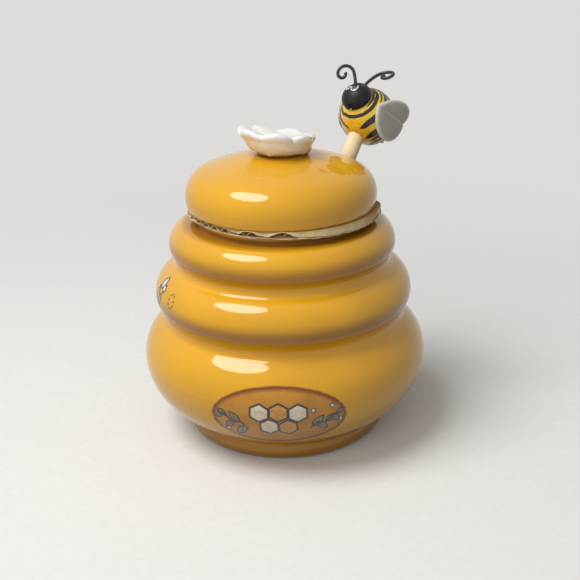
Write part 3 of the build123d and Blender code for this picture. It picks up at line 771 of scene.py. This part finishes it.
class POT_OT_label(bpy.types.Operator):
    """Paint the label: its ground, a comb of cells and two sprigs"""

    bl_idname = "pot.label"
    bl_label = "Paint label"

    RIM_POINTS, RIM_WOBBLE = 120, 0.012
    # The middle of each cell as (columns across, rows up, mm off the row), which are filled with cream slip, and a
    # column, a row and the filled part in sizes of a cell.
    CELLS = ((-1, 0.5, 0.5), (0, 0.5, 0.9), (1, 0.5, 0.4), (-0.5, -0.5, 0.2), (0.5, -0.5, -0.1))
    CREAM_CELLS = (0, 2, 3)
    COLUMN, ROW, FILLED = sqrt(3) * 1.02, 1.53, 0.97
    # In mm from the middle of the label on the right side: the stem's line and the buds.
    STEM = ((14.6, -5.4), (17.6, -1.6), (21.4, -1.9), (25.2, 1.9), (28.0, 1.2))
    BUDS = ((28.6, -1.6), (24.2, 6.6), (15.6, 5.2))
    # Leaves along the stem: share of the way, and rise in degrees, length and width in mm, each as the first leaf's
    # and how much less each next one has.
    LEAF_PLACES = (0.10, 0.30, 0.50, 0.70, 0.86)
    LEAF_SIZES = ((52, 4), (8.0, 1.0), (3.9, 0.4))
    CELL_LINE, STEM_LINE, LEAF_LINE, VEIN_LINE, BUD_LINE = 0.95 * MM, 1.15 * MM, 0.8 * MM, 0.55 * MM, 0.6 * MM
    BUD = 1.15 * MM

    def execute(self, context):
        label, glaze = context.scene.pot_label, context.scene.pot_glaze
        place = on_belly(skin_of("pot_body"), label)
        a, b = label.half_width, label.half_height

        def from_edge(spot):
            """Distance in from the label's edge in mm."""
            inside = hypot(spot.x / a, spot.y / b)
            slope = hypot(spot.x / a ** 2, spot.y / b ** 2) / inside if inside else 1 / b
            return (1 - inside) / slope / MM

        def painted(name, shapes, paint, **sizes):
            patches(name, "pot_body", shapes, place, paint, **sizes)

        rim = []
        for k in range(self.RIM_POINTS):
            step = toward(TURN * k / self.RIM_POINTS)
            rim.append(step * Vector((a, b)) * (1 + self.RIM_WOBBLE * noise.noise(Vector((*step * 1.7, 0.3)))))
        painted("label_ground", [(Vector((0, 0)), rim)], label_ground(label, glaze), rings=26, lift=0.05,
                measure=from_edge)
        # A comb of five cells, filled by turns with cream slip and honey wash.
        cells = [cell_outline(Vector((x * label.cell * self.COLUMN, y * label.cell * self.ROW + off * MM)),
                              label.cell * self.FILLED, 0.04 * n - 0.06) for n, (x, y, off) in enumerate(self.CELLS)]
        painted("label_cells_cream", [cells[n] for n in self.CREAM_CELLS],
                brushed("cream slip", label.cream, CREAM_DARK), lift=0.09)
        painted("label_cells_honey", [cell for n, cell in enumerate(cells) if n not in self.CREAM_CELLS],
                brushed("honey wash", label.comb), lift=0.09)
        lines = outlined(place, cells, self.CELL_LINE)
        # A sprig on each side, with leaves by turns above and below a waving stem that is mirrored left to right.
        # Leaves and buds on the left are also turned over.
        leaves, buds = [], []
        for side in (-1, 1):
            stem = bend_line([Vector((side * x, y)) * MM for x, y in self.STEM])
            lines.append(drawn(place, stem, self.STEM_LINE))
            for n, share in enumerate(self.LEAF_PLACES):
                root = stem[int(share * (len(stem) - 1))]
                up = 1 if (n % 2 == 0) == (side > 0) else -1
                rise, size, wide = (first - less * n for first, less in self.LEAF_SIZES)
                heading = radians(rise) * up if side > 0 else pi - radians(rise) * up
                leaves.append(leaf_outline(root, heading, size * MM, wide * MM))
            buds += [cell_outline(Vector((side * x, side * y)) * MM, self.BUD) for x, y in self.BUDS]
        painted("label_leaves", leaves, brushed("olive wash", label.leaf, OLIVE_LIGHT))
        painted("label_buds", buds, brushed("cream slip", label.cream), rings=3, lift=0.1)
        lines += outlined(place, leaves, self.LEAF_LINE)
        lines += [drawn(place, [outline[0].lerp(middle, t / 4) for t in range(7)], self.VEIN_LINE)
                  for middle, outline in leaves]
        lines += outlined(place, buds, self.BUD_LINE)
        strokes("label_lines", "pot_body", lines, brushed("brown brush line", label.line, depth=0.03), step=0.45)
        return {"FINISHED"}


class POT_OT_side_sprig(bpy.types.Operator):
    """Paint the small sprig and its dotted loop on the left of the pot"""

    bl_idname = "pot.side_sprig"
    bl_label = "Paint side sprig"

    # In mm from the middle of the sprig: leaves as root, heading in degrees, length and width, and cells as middle,
    # size and lean.
    LEAVES = (((-2.0, -5.0), 100, 8.5, 3.6), ((-1.4, -5.2), 62, 7.0, 3.0))
    CELLS = (((-0.6, 5.0), 2.3, 0.2), ((2.9, 3.4), 1.7, 0.5))
    # Where the sprig and the loop stand, as azimuth in degrees and height in mm, and the loop's half width in mm.
    SPRIG_PLACE, LOOP_PLACE = (-160.5, 75.0), (-147.5, 76.0)
    DASHES, LOOP, LOOP_TALL = 9, 2.3, 1.4
    EDGE_LINE, LOOP_LINE = 0.85 * MM, 0.75 * MM

    def execute(self, context):
        skin = skin_of("pot_body")
        place, loop = (on_ring(skin, radians(azimuth), height * MM)
                       for azimuth, height in (self.SPRIG_PLACE, self.LOOP_PLACE))
        leaves = [leaf_outline(Vector(root) * MM, radians(heading), size * MM, wide * MM)
                  for root, heading, size, wide in self.LEAVES]
        cells = [cell_outline(Vector(middle) * MM, size * MM, lean) for middle, size, lean in self.CELLS]
        green = brushed("yellow green wash", SPRIG_LEAF, SPRIG_LEAF_DARK)
        patches("side_leaves", "pot_body", leaves, place, green)
        patches("side_cells", "pot_body", cells, place, brushed("white slip", WHITE_SLIP))
        lines = outlined(place, leaves + cells, self.EDGE_LINE)
        oval = Vector((1, self.LOOP_TALL)) * self.LOOP * MM
        for k in range(self.DASHES):
            a, b = (toward(TURN * (k + t) / self.DASHES) * oval for t in (0, 0.5))
            lines.append(drawn(loop, [a, a.lerp(b, 0.5), b], self.LOOP_LINE, ends=0.8))
        strokes("side_lines", "pot_body", lines, brushed("dark brush line", SPRIG_LINE, depth=0.03), step=0.3)
        return {"FINISHED"}


class POT_OT_board(bpy.types.Operator):
    """Shape the hand-cut board ring: two paper liners with flutes between, torn in front and crushed at the right"""

    bl_idname = "pot.board"
    bl_label = "Shape board"

    # By azimuth in degrees: reach of the hand-cut edge in mm, how far the edge is crushed, how steeply each liner's
    # edge is bent down in degrees, and how far the top liner runs past its bend in mm.
    REACH = ((-180, 46.7), (-164, 46.3), (-148, 45.1), (-60, 45.0), (-8, 45.0), (6, 42.9), (40, 43.6), (90, 45.0),
             (150, 45.2), (180, 46.7))
    CRUSH = ((-180, 0), (-128, 0), (-120, 0.8), (-111, 0.2), (-102, 0.9), (-92, 0.3), (-82, 1), (-26, 1), (-14, 0.1),
             (0, 0), (180, 0))
    TOP = ((-180, -6), (-128, -8), (-120, 62), (-111, -24), (-102, 64), (-92, -16), (-82, 68), (-34, 74), (-22, 62),
           (-13, 4), (20, 0), (180, -6))
    LOW = ((-180, 4), (-128, 8), (-120, -12), (-111, 22), (-102, -8), (-92, 24), (-82, 10), (-72, 30), (-34, 30),
           (-14, 0), (0, 0), (180, 4))
    RUN = ((-180, 1.5), (-128, 1.5), (-120, 2.5), (-111, 2.3), (-102, 2.7), (-92, 2.4), (-82, 3.2), (-60, 3.9),
           (-36, 3.9), (-22, 2.8), (-13, 1.5), (180, 1.5))
    AROUND, FLAT_ROWS, EDGE_ROWS = 540, 5, 16
    # In mm: how far a full crush pushes the flutes back, slow and fine raggedness of the cut, and width of each
    # liner's bent edge.
    PUSHED_BACK, RAGGED, RAGGED_FINE, LOW_EDGE, TOP_EDGE = 1.7, 0.35, 0.18, 1.6, 1.5
    # How far a fold wavers in degrees, and how fast it bends: it is full after 1 / FOLD_RATE of the edge's rows.
    WAVER, FOLD_RATE = 7, 2.2
    # Inside this reach the lid rests on the paper, which rises by no more than its slack in mm.
    LID_REACH, SLACK = 44.3 * MM, 0.04

    def execute(self, context):
        board = context.scene.pot_board
        finish = kraft_board(board)
        middle = Vector((board.shift_x, board.shift_y, 0))
        hole = min(hypot(v.co.x, v.co.y) for v in frame["nodes"]["packing_liner_top"].data.vertices)
        low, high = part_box("packing_liner_bottom")[0][2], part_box("packing_liner_top")[1][2]
        # The flutes keep their folds, and are pressed down and back where the edge is crushed.
        flutes = frame["nodes"]["packing_flutes"].data.copy()
        for vertex in flutes.vertices:
            flat = Vector((vertex.co.x, vertex.co.y, 0)) - middle
            if flat.length > board.radius - 0.5 * MM:
                azimuth = degrees(atan2(flat.y, flat.x))
                crush = between(self.CRUSH, azimuth)
                reach = (between(self.REACH, azimuth) - self.PUSHED_BACK * crush) * MM
                vertex.co.xy = (middle + flat.normalized() * reach).xy
                vertex.co.z = low + (vertex.co.z - low) * (1 - 0.5 * crush)
        fit_out(put("board_flutes", flutes), "packing_flutes", finish, ("packing_flutes",))
        for name, node, level, folds, width in (
            ("board_liner_bottom", "packing_liner_bottom", low + board.paper_thickness, self.LOW, self.LOW_EDGE),
            ("board_liner_top", "packing_liner_top", high, self.TOP, self.TOP_EDGE),
        ):
            cuts = []
            for k in range(self.AROUND):
                azimuth = k * 360 / self.AROUND - 180
                step = toward(radians(azimuth)).to_3d()
                ragged = (self.RAGGED * noise.noise(Vector((azimuth / 5, level * 900, 1)))
                          + self.RAGGED_FINE * noise.noise(Vector((azimuth, 3, 1))))
                bend = between(self.REACH, azimuth) - width + 0.4 * ragged
                inside = middle.dot(step)
                start = (sqrt(hole ** 2 - middle.length_squared + inside ** 2) - inside) / MM
                crush = between(self.CRUSH, azimuth)
                run = between(self.RUN, azimuth) if folds is self.TOP else width + 0.5 * crush
                waver = self.WAVER * noise.noise(Vector((azimuth / 6, 9, level * 900)))
                fold = radians(between(folds, azimuth) + waver)
                outer, inner = [], []
                for row in range(self.FLAT_ROWS + self.EDGE_ROWS + 1):
                    if row <= self.FLAT_ROWS:
                        spot = Vector((start + (bend - start) * row / self.FLAT_ROWS, level / MM))
                        slope = 0.0
                    else:
                        slope = fold * min(1.0, (row - self.FLAT_ROWS) / self.EDGE_ROWS * self.FOLD_RATE)
                        spot = spot + toward(-slope) * (run + ragged) / self.EDGE_ROWS
                    under = spot - Vector((sin(slope), cos(slope))) * board.paper_thickness / MM
                    point = middle + step * spot.x * MM
                    if hypot(point.x, point.y) < self.LID_REACH:
                        spot.y = min(spot.y, level / MM + self.SLACK)
                    outer.append(point + Vector((0, 0, spot.y * MM)))
                    inner.append(middle + step * under.x * MM + Vector((0, 0, under.y * MM)))
                cuts.append(outer + inner[::-1])
            fit_out(link_mesh(name, *shell(cuts, looped=True)), node, finish, (node,))
        return {"FINISHED"}


class POT_OT_daisy(bpy.types.Operator):
    """Shape the daisy knob: one bowl with seven soft petals"""

    bl_idname = "pot.daisy"
    bl_label = "Shape daisy"

    # From the middle of the underside, round the lip and back to the middle of the bowl: reach and height in mm,
    # share of the petals' scallop, share of the rim's lean.
    OUTLINE = (
        (0.0, -1.0, 0, 0), (6.0, -1.0, 0, 0), (10.6, -1.0, 0, 0), (10.8, 0.1, 0, 0), (10.9, 1.0, 0, 0),
        (12.4, 0.9, 0, 0.05), (13.6, 1.0, 0, 0.1), (14.4, 1.6, 0, 0.16), (15.0, 2.5, 0.02, 0.26),
        (15.6, 3.6, 0.05, 0.4), (16.1, 4.9, 0.1, 0.56), (16.6, 6.0, 0.2, 0.7), (17.1, 6.7, 0.4, 0.82),
        (17.8, 7.3, 0.66, 0.92), (18.3, 8.1, 0.86, 1), (18.5, 9.0, 1, 1), (18.3, 9.7, 1, 1), (17.7, 10.25, 1, 1),
        (16.9, 10.5, 0.96, 1), (16.0, 10.45, 0.88, 1), (14.9, 10.1, 0.74, 0.96), (13.5, 9.5, 0.55, 0.88),
        (11.8, 8.8, 0.36, 0.78), (9.8, 8.1, 0.2, 0.66), (7.4, 7.4, 0.1, 0.52), (4.8, 6.9, 0.03, 0.4),
        (2.4, 6.6, 0, 0.32), (0.0, 6.5, 0, 0.3),
    )
    OUTLINE_LIP, TOP_ROW, AROUND = 18.5, 18, 252
    # A cleft's depth, as a share of the reach and down in mm. In mm: depth and width of the groove that runs from it
    # into the bowl, and how far the hand moved the clay up and out. The nub's depth, reach and length in mm, and its
    # width round the cup in radians.
    CLEFT_IN, CLEFT_DOWN = 0.09, 1.2
    GROOVE_DEPTH, GROOVE_WIDTH = 0.25, 1.7
    HAND_UP, HAND_OUT = 0.7, 0.5
    NUB_DEPTH, NUB_REACH, NUB_LONG, NUB_WIDE = 1.5, 12.9, 1.2, 0.17

    def execute(self, context):
        daisy = context.scene.pot_daisy
        up = toward(daisy.tilt_azimuth).to_3d() * sin(daisy.tilt) + Vector((0, 0, cos(daisy.tilt)))
        right = Vector((0, 1, 0)).cross(up).normalized()
        front = up.cross(right)
        foot = Vector((0, 0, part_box("lid_shell")[1][2]))
        stretch = daisy.lip / (self.OUTLINE_LIP * MM)
        rings = []
        for row, (reach, height, scallop, lean) in enumerate(self.OUTLINE):
            ring = []
            for k in range(self.AROUND if reach else 1):
                turn = TURN * k / self.AROUND
                c, s = cos(turn), sin(turn)
                near = abs(cos(daisy.petals / 2 * (turn + pi / 2)))
                crown, plan = near ** 1.3, near ** 0.8
                r = reach * stretch * (1 - self.CLEFT_IN * scallop * (1 - plan))
                z = height - self.CLEFT_DOWN * scallop * (1 - crown)
                if row > self.TOP_ROW:
                    from_cleft = asin(min(1.0, near)) / (daisy.petals / 2) * reach
                    z -= self.GROOVE_DEPTH * exp(-(from_cleft / self.GROOVE_WIDTH) ** 2) * min(1, reach / 8)
                z += self.HAND_UP * noise.noise(Vector((c * r, s * r, z)) * 0.13) * (0.3 + scallop)
                r += self.HAND_OUT * noise.noise(Vector((c * 2, s * 2, 7))) * scallop
                z -= (self.NUB_DEPTH * exp(-((turn - daisy.nub) / self.NUB_WIDE) ** 2)
                      * exp(-((reach - self.NUB_REACH) / self.NUB_LONG) ** 2))
                z -= lean * (daisy.sink / MM + r * (daisy.fall_right * c + daisy.fall_back * s))
                ring.append(foot + right * (r * c * MM + daisy.lean * lean) + front * r * s * MM + up * z * MM)
            rings.append(ring)
        fit_out(link_mesh("daisy_knob", *shell(rings)), "flower_knob", white_glaze(daisy), ("flower_knob",))
        return {"FINISHED"}


class POT_OT_dipper(bpy.types.Operator):
    """Finish the turned dipper"""

    bl_idname = "pot.dipper"
    bl_label = "Finish dipper"

    def execute(self, context):
        birch = turned_wood(context.scene.pot_wood)
        dress("dipper_stick", birch)
        dress("dipper_head", birch)
        return {"FINISHED"}


class POT_OT_antennae(bpy.types.Operator):
    """Bend the two wire antennae, bend by bend, as in the CAD"""

    bl_idname = "pot.antennae"
    bl_label = "Bend antennae"

    # Root on the bee in mm (forward, up the back, to the far side), which way the bending plane faces in
    # degrees (azimuth, elevation), first heading in it, side that it curls to, and bends as (radius, turn).
    WIRES = {
        "bee_antenna_far": ((18.96, 3.1, 0.5), (-90.0, 21.5), 87.0, 1,
                            ((21.1, 18.0), (3.9, 144.0), (3.4, 29.0), (1.87, 193.0))),
        "bee_antenna_near": ((17.06, 5.4, -2.7), (-137.8, 69.1), 107.0, -1,
                             ((22.9, 24.0), (5.7, 84.0), (2.95, 195.0), (1.5, 130.0))),
    }
    CAD_THICKNESS, STEP, SIDES = 1.3 * MM, 0.25 * MM, 20
    BEND_STEPS = 24

    def execute(self, context):
        wood = context.scene.pot_wood
        coating, tree = coated_wire(wood), wire_tree()
        # Wire drawn thicker than in the CAD is set lower by half of that, so its top stays where it is.
        drop = Vector((0, 0, (wood.wire_thickness - self.CAD_THICKNESS) / 2))
        for node, (root, (azimuth, elevation), heading, curl, bends) in self.WIRES.items():
            normal = polar(radians(90 - elevation), radians(azimuth))
            rise = (Vector((0, 0, 1)) - normal * normal.z).normalized()
            across = rise.cross(normal)
            start = BEE_CENTRE - drop + (HEAD * root[0] + BACK * root[1] - NEAR * root[2]) * MM
            path = [toward(radians(heading)) * -2.0, Vector((0, 0))]
            for radius, turn in bends:
                out = radians(heading - 90 * curl)
                centre = path[-1] - toward(out) * radius
                path += [centre + toward(out + radians(curl * turn * step / self.BEND_STEPS)) * radius
                         for step in range(1, self.BEND_STEPS + 1)]
                heading += curl * turn
            points = [start + (across * p.x + rise * p.y) * MM for p in path]
            body = link_mesh(node + "_wire", points, [], [(k, k + 1) for k in range(len(points) - 1)])
            run_tree(body, tree, {"Thickness": wood.wire_thickness, "Step": self.STEP, "Sides": self.SIDES,
                                  "Coating": coating})
            fit_out(body, node, None, (node,))
        return {"FINISHED"}


class POT_OT_bee(bpy.types.Operator):
    """Paint the bee's body, head, stripes, eyes and mouth"""

    bl_idname = "pot.bee"
    bl_label = "Paint bee"

    # Stripes as (forward in mm, degrees round from the belly, share of the full width); most stay open on the
    # belly and end there in a point.
    STRIPES = (
        ((10.4, 0, .72), (10.3, 45, .75), (10.4, 90, .8), (10.5, 180, .8), (10.4, 270, .75), (10.3, 315, .72),
         (10.4, 360, .72)),
        ((11.8, 70, .1), (11.7, 95, .5), (11.6, 135, .6), (11.6, 180, .6), (11.7, 225, .5), (11.8, 290, .1)),
        ((8.6, 110, .1), (8.5, 135, .5), (8.4, 180, .6), (8.5, 225, .5), (8.6, 250, .1)),
        ((5.1, 29, .12), (5.6, 40, .95), (6.3, 55, 1.3), (6.6, 78, 1.3), (6.4, 120, 1), (6.0, 180, 1), (6.3, 240, 1),
         (7.0, 300, 1), (7.2, 316, 1), (6.6, 335, .8), (5.9, 352, .5), (5.3, 363, .12)),
        ((3.4, 88, .1), (3.5, 110, .8), (3.3, 150, .9), (3.2, 180, .9), (3.4, 220, .9), (3.5, 262, .1)),
        ((-1.4, 31, .12), (-0.6, 42, 1.25), (0.1, 58, 1.6), (0.4, 90, 1.2), (0.2, 180, 1), (0.5, 270, 1.1),
         (1.0, 318, 1.1), (0.6, 334, .8), (0.2, 350, .12)),
        ((-4.6, 36, .12), (-3.9, 46, 0.8), (-3.3, 62, 0.9), (-3.0, 100, 1), (-3.0, 180, 1), (-3.2, 290, 1),
         (-3.8, 330, .12)),
        ((-7.7, 24, .12), (-7.0, 42, 1.1), (-6.6, 65, 1.1), (-6.4, 120, 1), (-6.4, 180, 1), (-6.6, 300, 1),
         (-7.4, 340, .12)),
        ((-10.4, 0, .9), (-10.2, 90, 1), (-10.2, 180, 1), (-10.2, 270, 1), (-10.4, 360, .9)),
    )
    # In mm from the middle of the head: eyes as forward, up, near, half width and half height of the white line,
    # and the mouth as near and width of the line.
    EYES = ((4.8, 0.9, -2.9, 1.5, 1.7), (5.3, 0.9, 0.95, 1.6, 1.7))
    MOUTH = ((1.3, 0.5), (1.8, 0.75), (2.3, 0.5))
    # The white line starts at the far side of an eye and goes down, round and over its top, in degrees.
    EYE_START, EYE_SWEEP, EYE_STEPS = -205, 310, 22
    EYE_LINE, EYE_DISC = 0.66 * MM, 1.15 * MM
    # How far a stripe wavers along the body, in mm.
    WAVER = 0.22

    def execute(self, context):
        bee = context.scene.pot_bee
        dress("bee_body", bee_yellow(bee))
        dress("bee_head", bee_black(bee))
        paths = []
        for row in self.STRIPES:
            line = bend_line([Vector(stop) for stop in row], 9)
            paths.append([(on_bee(p.x + self.WAVER * noise.noise(Vector((p.x, p.y / 17, 0))), p.y), bee.stripe * p.z)
                          for p in line])
        black = brushed("black enamel stripe", bee.black, STRIPE_BROWN, depth=0.04, wet=0.4)
        strokes("bee_stripes", "bee_body", paths, black, flatness=0.13, sides=14)
        white = brushed("white enamel line", bee.eye, EYE_GREY, depth=0.03)
        skin = skin_of("bee_head")
        discs = [cell_outline(Vector((eye[2], eye[1])) * MM, self.EYE_DISC, corners=8) for eye in self.EYES]
        patches("bee_eye_discs", "bee_head", discs,
                lambda spot: skin.find_nearest(on_face(5.2, spot.y / MM, spot.x / MM))[:2],
                brushed("grey enamel", DISC_GREY), lift=0.06)
        lines = []
        for forward, up, near, wide, tall in self.EYES:
            ring = []
            for k in range(self.EYE_STEPS + 1):
                share = k / self.EYE_STEPS
                turn = radians(self.EYE_START + self.EYE_SWEEP * share)
                ring.append((on_face(forward - tall * 0.4 * sin(turn), up + tall * sin(turn), near + wide * cos(turn)),
                             self.EYE_LINE * (0.5 + 0.5 * sin(pi * share) ** 0.4)))
            lines.append(ring)
        lines.append([(on_face(-0.4, -7.0, near), width * MM) for near, width in self.MOUTH])
        strokes("bee_eyes", "bee_head", lines, white, step=0.25, flatness=0.3, sides=10)
        return {"FINISHED"}


class POT_OT_wings(bpy.types.Operator):
    """Shape both wings: two soft lobes with a crease between them"""

    bl_idname = "pot.wings"
    bl_label = "Shape wings"

    # Ellipses of the two lobes in the wing's plane, in mm forward of the root and up: middle, half lengths, turn.
    UPPER = ((-9.11, 2.53), (12.97, 7.44), radians(125.2))
    LOWER = ((-9.71, 3.12), (12.36, 9.41), radians(228.5))
    ROOT, NOTCH = Vector((0.0, 0.6)), Vector((-18.7, 5.7))
    # Where the root stands forward and out from the middle of the bee in mm, and how far the wing splays.
    ROOT_FORWARD, ROOT_OUT, SPLAY = 10.6, 11.7, radians(9.65)
    # In mm: swell of a lobe, depth and width of the crease, width of its light line, and where along it both start.
    SWELL, CREASE_DEPTH, CREASE_WIDTH, LINE_WIDTH, CREASE_START, LINE_START = 0.25, 0.55, 0.55, 0.3, 2.5, 3.5
    AROUND, RINGS = 180, 22

    def execute(self, context):
        bee = context.scene.pot_bee
        finish = wing_wash(bee)
        middle, line = (self.ROOT + self.NOTCH) / 2, (self.NOTCH - self.ROOT).normalized()
        above = Vector((line.y, -line.x))

        def reach(lobe, step):
            """How far a lobe's edge lies from the middle of the wing along a step."""
            centre, (long, short), turn = lobe
            start = middle - Vector(centre)
            c, s = cos(turn), sin(turn)
            p, d = (Vector(((v.x * c + v.y * s) / long, (-v.x * s + v.y * c) / short)) for v in (start, step))
            half, full = p.dot(d), d.dot(d)
            return (-half + sqrt(max(0.0, half * half - full * (p.dot(p) - 1)))) / full

        for side, node in ((1, "bee_wing_near"), (-1, "bee_wing_far")):
            out = NEAR * side
            forward = HEAD * cos(self.SPLAY) - out * sin(self.SPLAY)
            away = out * cos(self.SPLAY) + HEAD * sin(self.SPLAY)
            origin = BEE_CENTRE + (HEAD * self.ROOT_FORWARD + out * self.ROOT_OUT) * MM
            skin, edge, crease = [], [], []
            # Rings from the middle of the outer face over the rim to the middle of the inner face.
            for face, ring in [(1, k) for k in range(self.RINGS + 1)] + [(-1, k) for k in reversed(range(self.RINGS))]:
                share = sin(pi / 2 * ring / self.RINGS)
                row = []
                for k in range(self.AROUND if ring else 1):
                    step = toward(TURN * k / self.AROUND)
                    spot = middle + step * reach(self.UPPER if step.dot(above) > 0 else self.LOWER, step) * share
                    off = abs((spot - self.ROOT).dot(above))
                    along = (spot - self.ROOT).dot(line)
                    groove = exp(-(off / self.CREASE_WIDTH) ** 2) * min(1, max(0, (along - self.CREASE_START) / 3))
                    light = exp(-(off / self.LINE_WIDTH) ** 2) * min(1, max(0, (along - self.LINE_START) / 2))
                    puff = bee.wing_thickness / 2 / MM * (1 - share ** 4) ** 0.5
                    bulge = self.SWELL * min(1.0, off / 4) * (1 - share ** 2)
                    rise = face * max(0.0, puff + bulge - self.CREASE_DEPTH * groove * (1 - share ** 8))
                    edge.append(share)
                    crease.append(light * (1 - share ** 10))
                    row.append(origin + (forward * spot.x + BACK * spot.y + away * rise) * MM)
                skin.append(row)
            body = link_mesh(node + "_shaped", *shell(skin, flip=forward.cross(BACK).dot(away) >= 0))
            mark(body, "edge", edge)
            mark(body, "crease", crease)
            fit_out(body, node, finish, (node,))
        return {"FINISHED"}


class POT_OT_stage(bpy.types.Operator):
    """Set up the camera, the pale floor and the soft lights"""

    bl_idname = "pot.stage"
    bl_label = "Set stage"

    FLOOR_HALF = 3
    LAMP_AIM = Vector((0, 0, 0.07))
    # Lamps by name: azimuth and elevation in degrees, distance, width and height in metres.
    LAMPS = {"Softbox": (-154, 61, 1.25, 0.80, 0.66), "Front fill": (-112, 24, 2.0, 2.4, 1.5)}

    def execute(self, context):
        stage, scene = context.scene.pot_stage, context.scene
        camera = bpy.data.cameras.new("Camera")
        camera.lens = stage.lens
        camera.sensor_width = 36
        eye = put("Camera", camera)
        turn = Matrix.Rotation(pi / 2 - stage.camera_pitch, 4, "X") @ Matrix.Rotation(stage.camera_roll, 4, "Z")
        eye.matrix_world = Matrix.Translation((stage.camera_x, -stage.camera_back, stage.camera_height)) @ turn
        scene.camera = eye
        scene.view_settings.view_transform = "Standard"
        world = bpy.data.worlds.new("Soft room")
        world.use_nodes = True
        tree = world.node_tree
        room = add(tree, "ShaderNodeBackground", {"Color": stage.room, "Strength": stage.sky})
        wall = add(tree, "ShaderNodeBackground", {"Color": stage.backdrop, "Strength": 1.0})
        seen_as(tree, "World Output", looked_at(tree), room, wall)
        scene.world = world
        corners = [(x * self.FLOOR_HALF, y * self.FLOOR_HALF, 0) for x, y in ((-1, -1), (1, -1), (1, 1), (-1, 1))]
        floor = link_mesh("floor", corners, [(0, 1, 2, 3)])
        floor.data.materials.append(pale_floor(stage))
        # A softbox above the left, which the glaze mirrors as one clear patch on each ring, and a wide lamp in
        # front, which lights the pot without a patch of its own.
        for name, power in (("Softbox", stage.key), ("Front fill", stage.front)):
            azimuth, elevation, distance, wide, tall = self.LAMPS[name]
            lamp = bpy.data.lights.new(name, "AREA")
            lamp.shape = "ELLIPSE"
            lamp.size, lamp.size_y, lamp.energy = wide, tall, power
            body = put(name, lamp)
            from_pot = polar(pi / 2 - radians(elevation), radians(azimuth)) * distance
            turned = from_pot.to_track_quat("Z", "Y").to_matrix().to_4x4()
            body.matrix_world = Matrix.Translation(self.LAMP_AIM + from_pot) @ turned
            body.visible_glossy = name == "Softbox"
        return {"FINISHED"}


class POT_PT_sidebar(bpy.types.Panel):
    """Sizes, colours and pieces of the honey pot"""

    bl_idname = "POT_PT_sidebar"
    bl_label = "Honey Pot"
    bl_space_type = "VIEW_3D"
    bl_region_type = "UI"
    bl_category = "Honey Pot"

    def draw(self, context):
        for group, name in GROUPS.items():
            box = self.layout.box()
            box.label(text=group.__doc__)
            for key in group.__annotations__:
                box.prop(getattr(context.scene, name), key)
        for piece in PIECES:
            self.layout.operator(piece.bl_idname)


GROUPS = {
    GlazeSettings: "pot_glaze",
    LabelSettings: "pot_label",
    DaisySettings: "pot_daisy",
    BoardSettings: "pot_board",
    BeeSettings: "pot_bee",
    WoodSettings: "pot_wood",
    StageSettings: "pot_stage",
}
PIECES = (POT_OT_glaze, POT_OT_label, POT_OT_side_sprig, POT_OT_board, POT_OT_daisy, POT_OT_dipper,
          POT_OT_antennae, POT_OT_bee, POT_OT_wings, POT_OT_stage)


def register():
    for group, name in GROUPS.items():
        bpy.utils.register_class(group)
        setattr(bpy.types.Scene, name, bpy.props.PointerProperty(type=group))
    for kind in PIECES + (POT_PT_sidebar,):
        bpy.utils.register_class(kind)


def unregister():
    for kind in (POT_PT_sidebar,) + PIECES[::-1]:
        bpy.utils.unregister_class(kind)
    for group, name in GROUPS.items():
        delattr(bpy.types.Scene, name)
        bpy.utils.unregister_class(group)


def main():
    register()
    for piece in PIECES:
        family, action = piece.bl_idname.split(".")
        getattr(getattr(bpy.ops, family), action)()


if __name__ == "__main__":
    main()
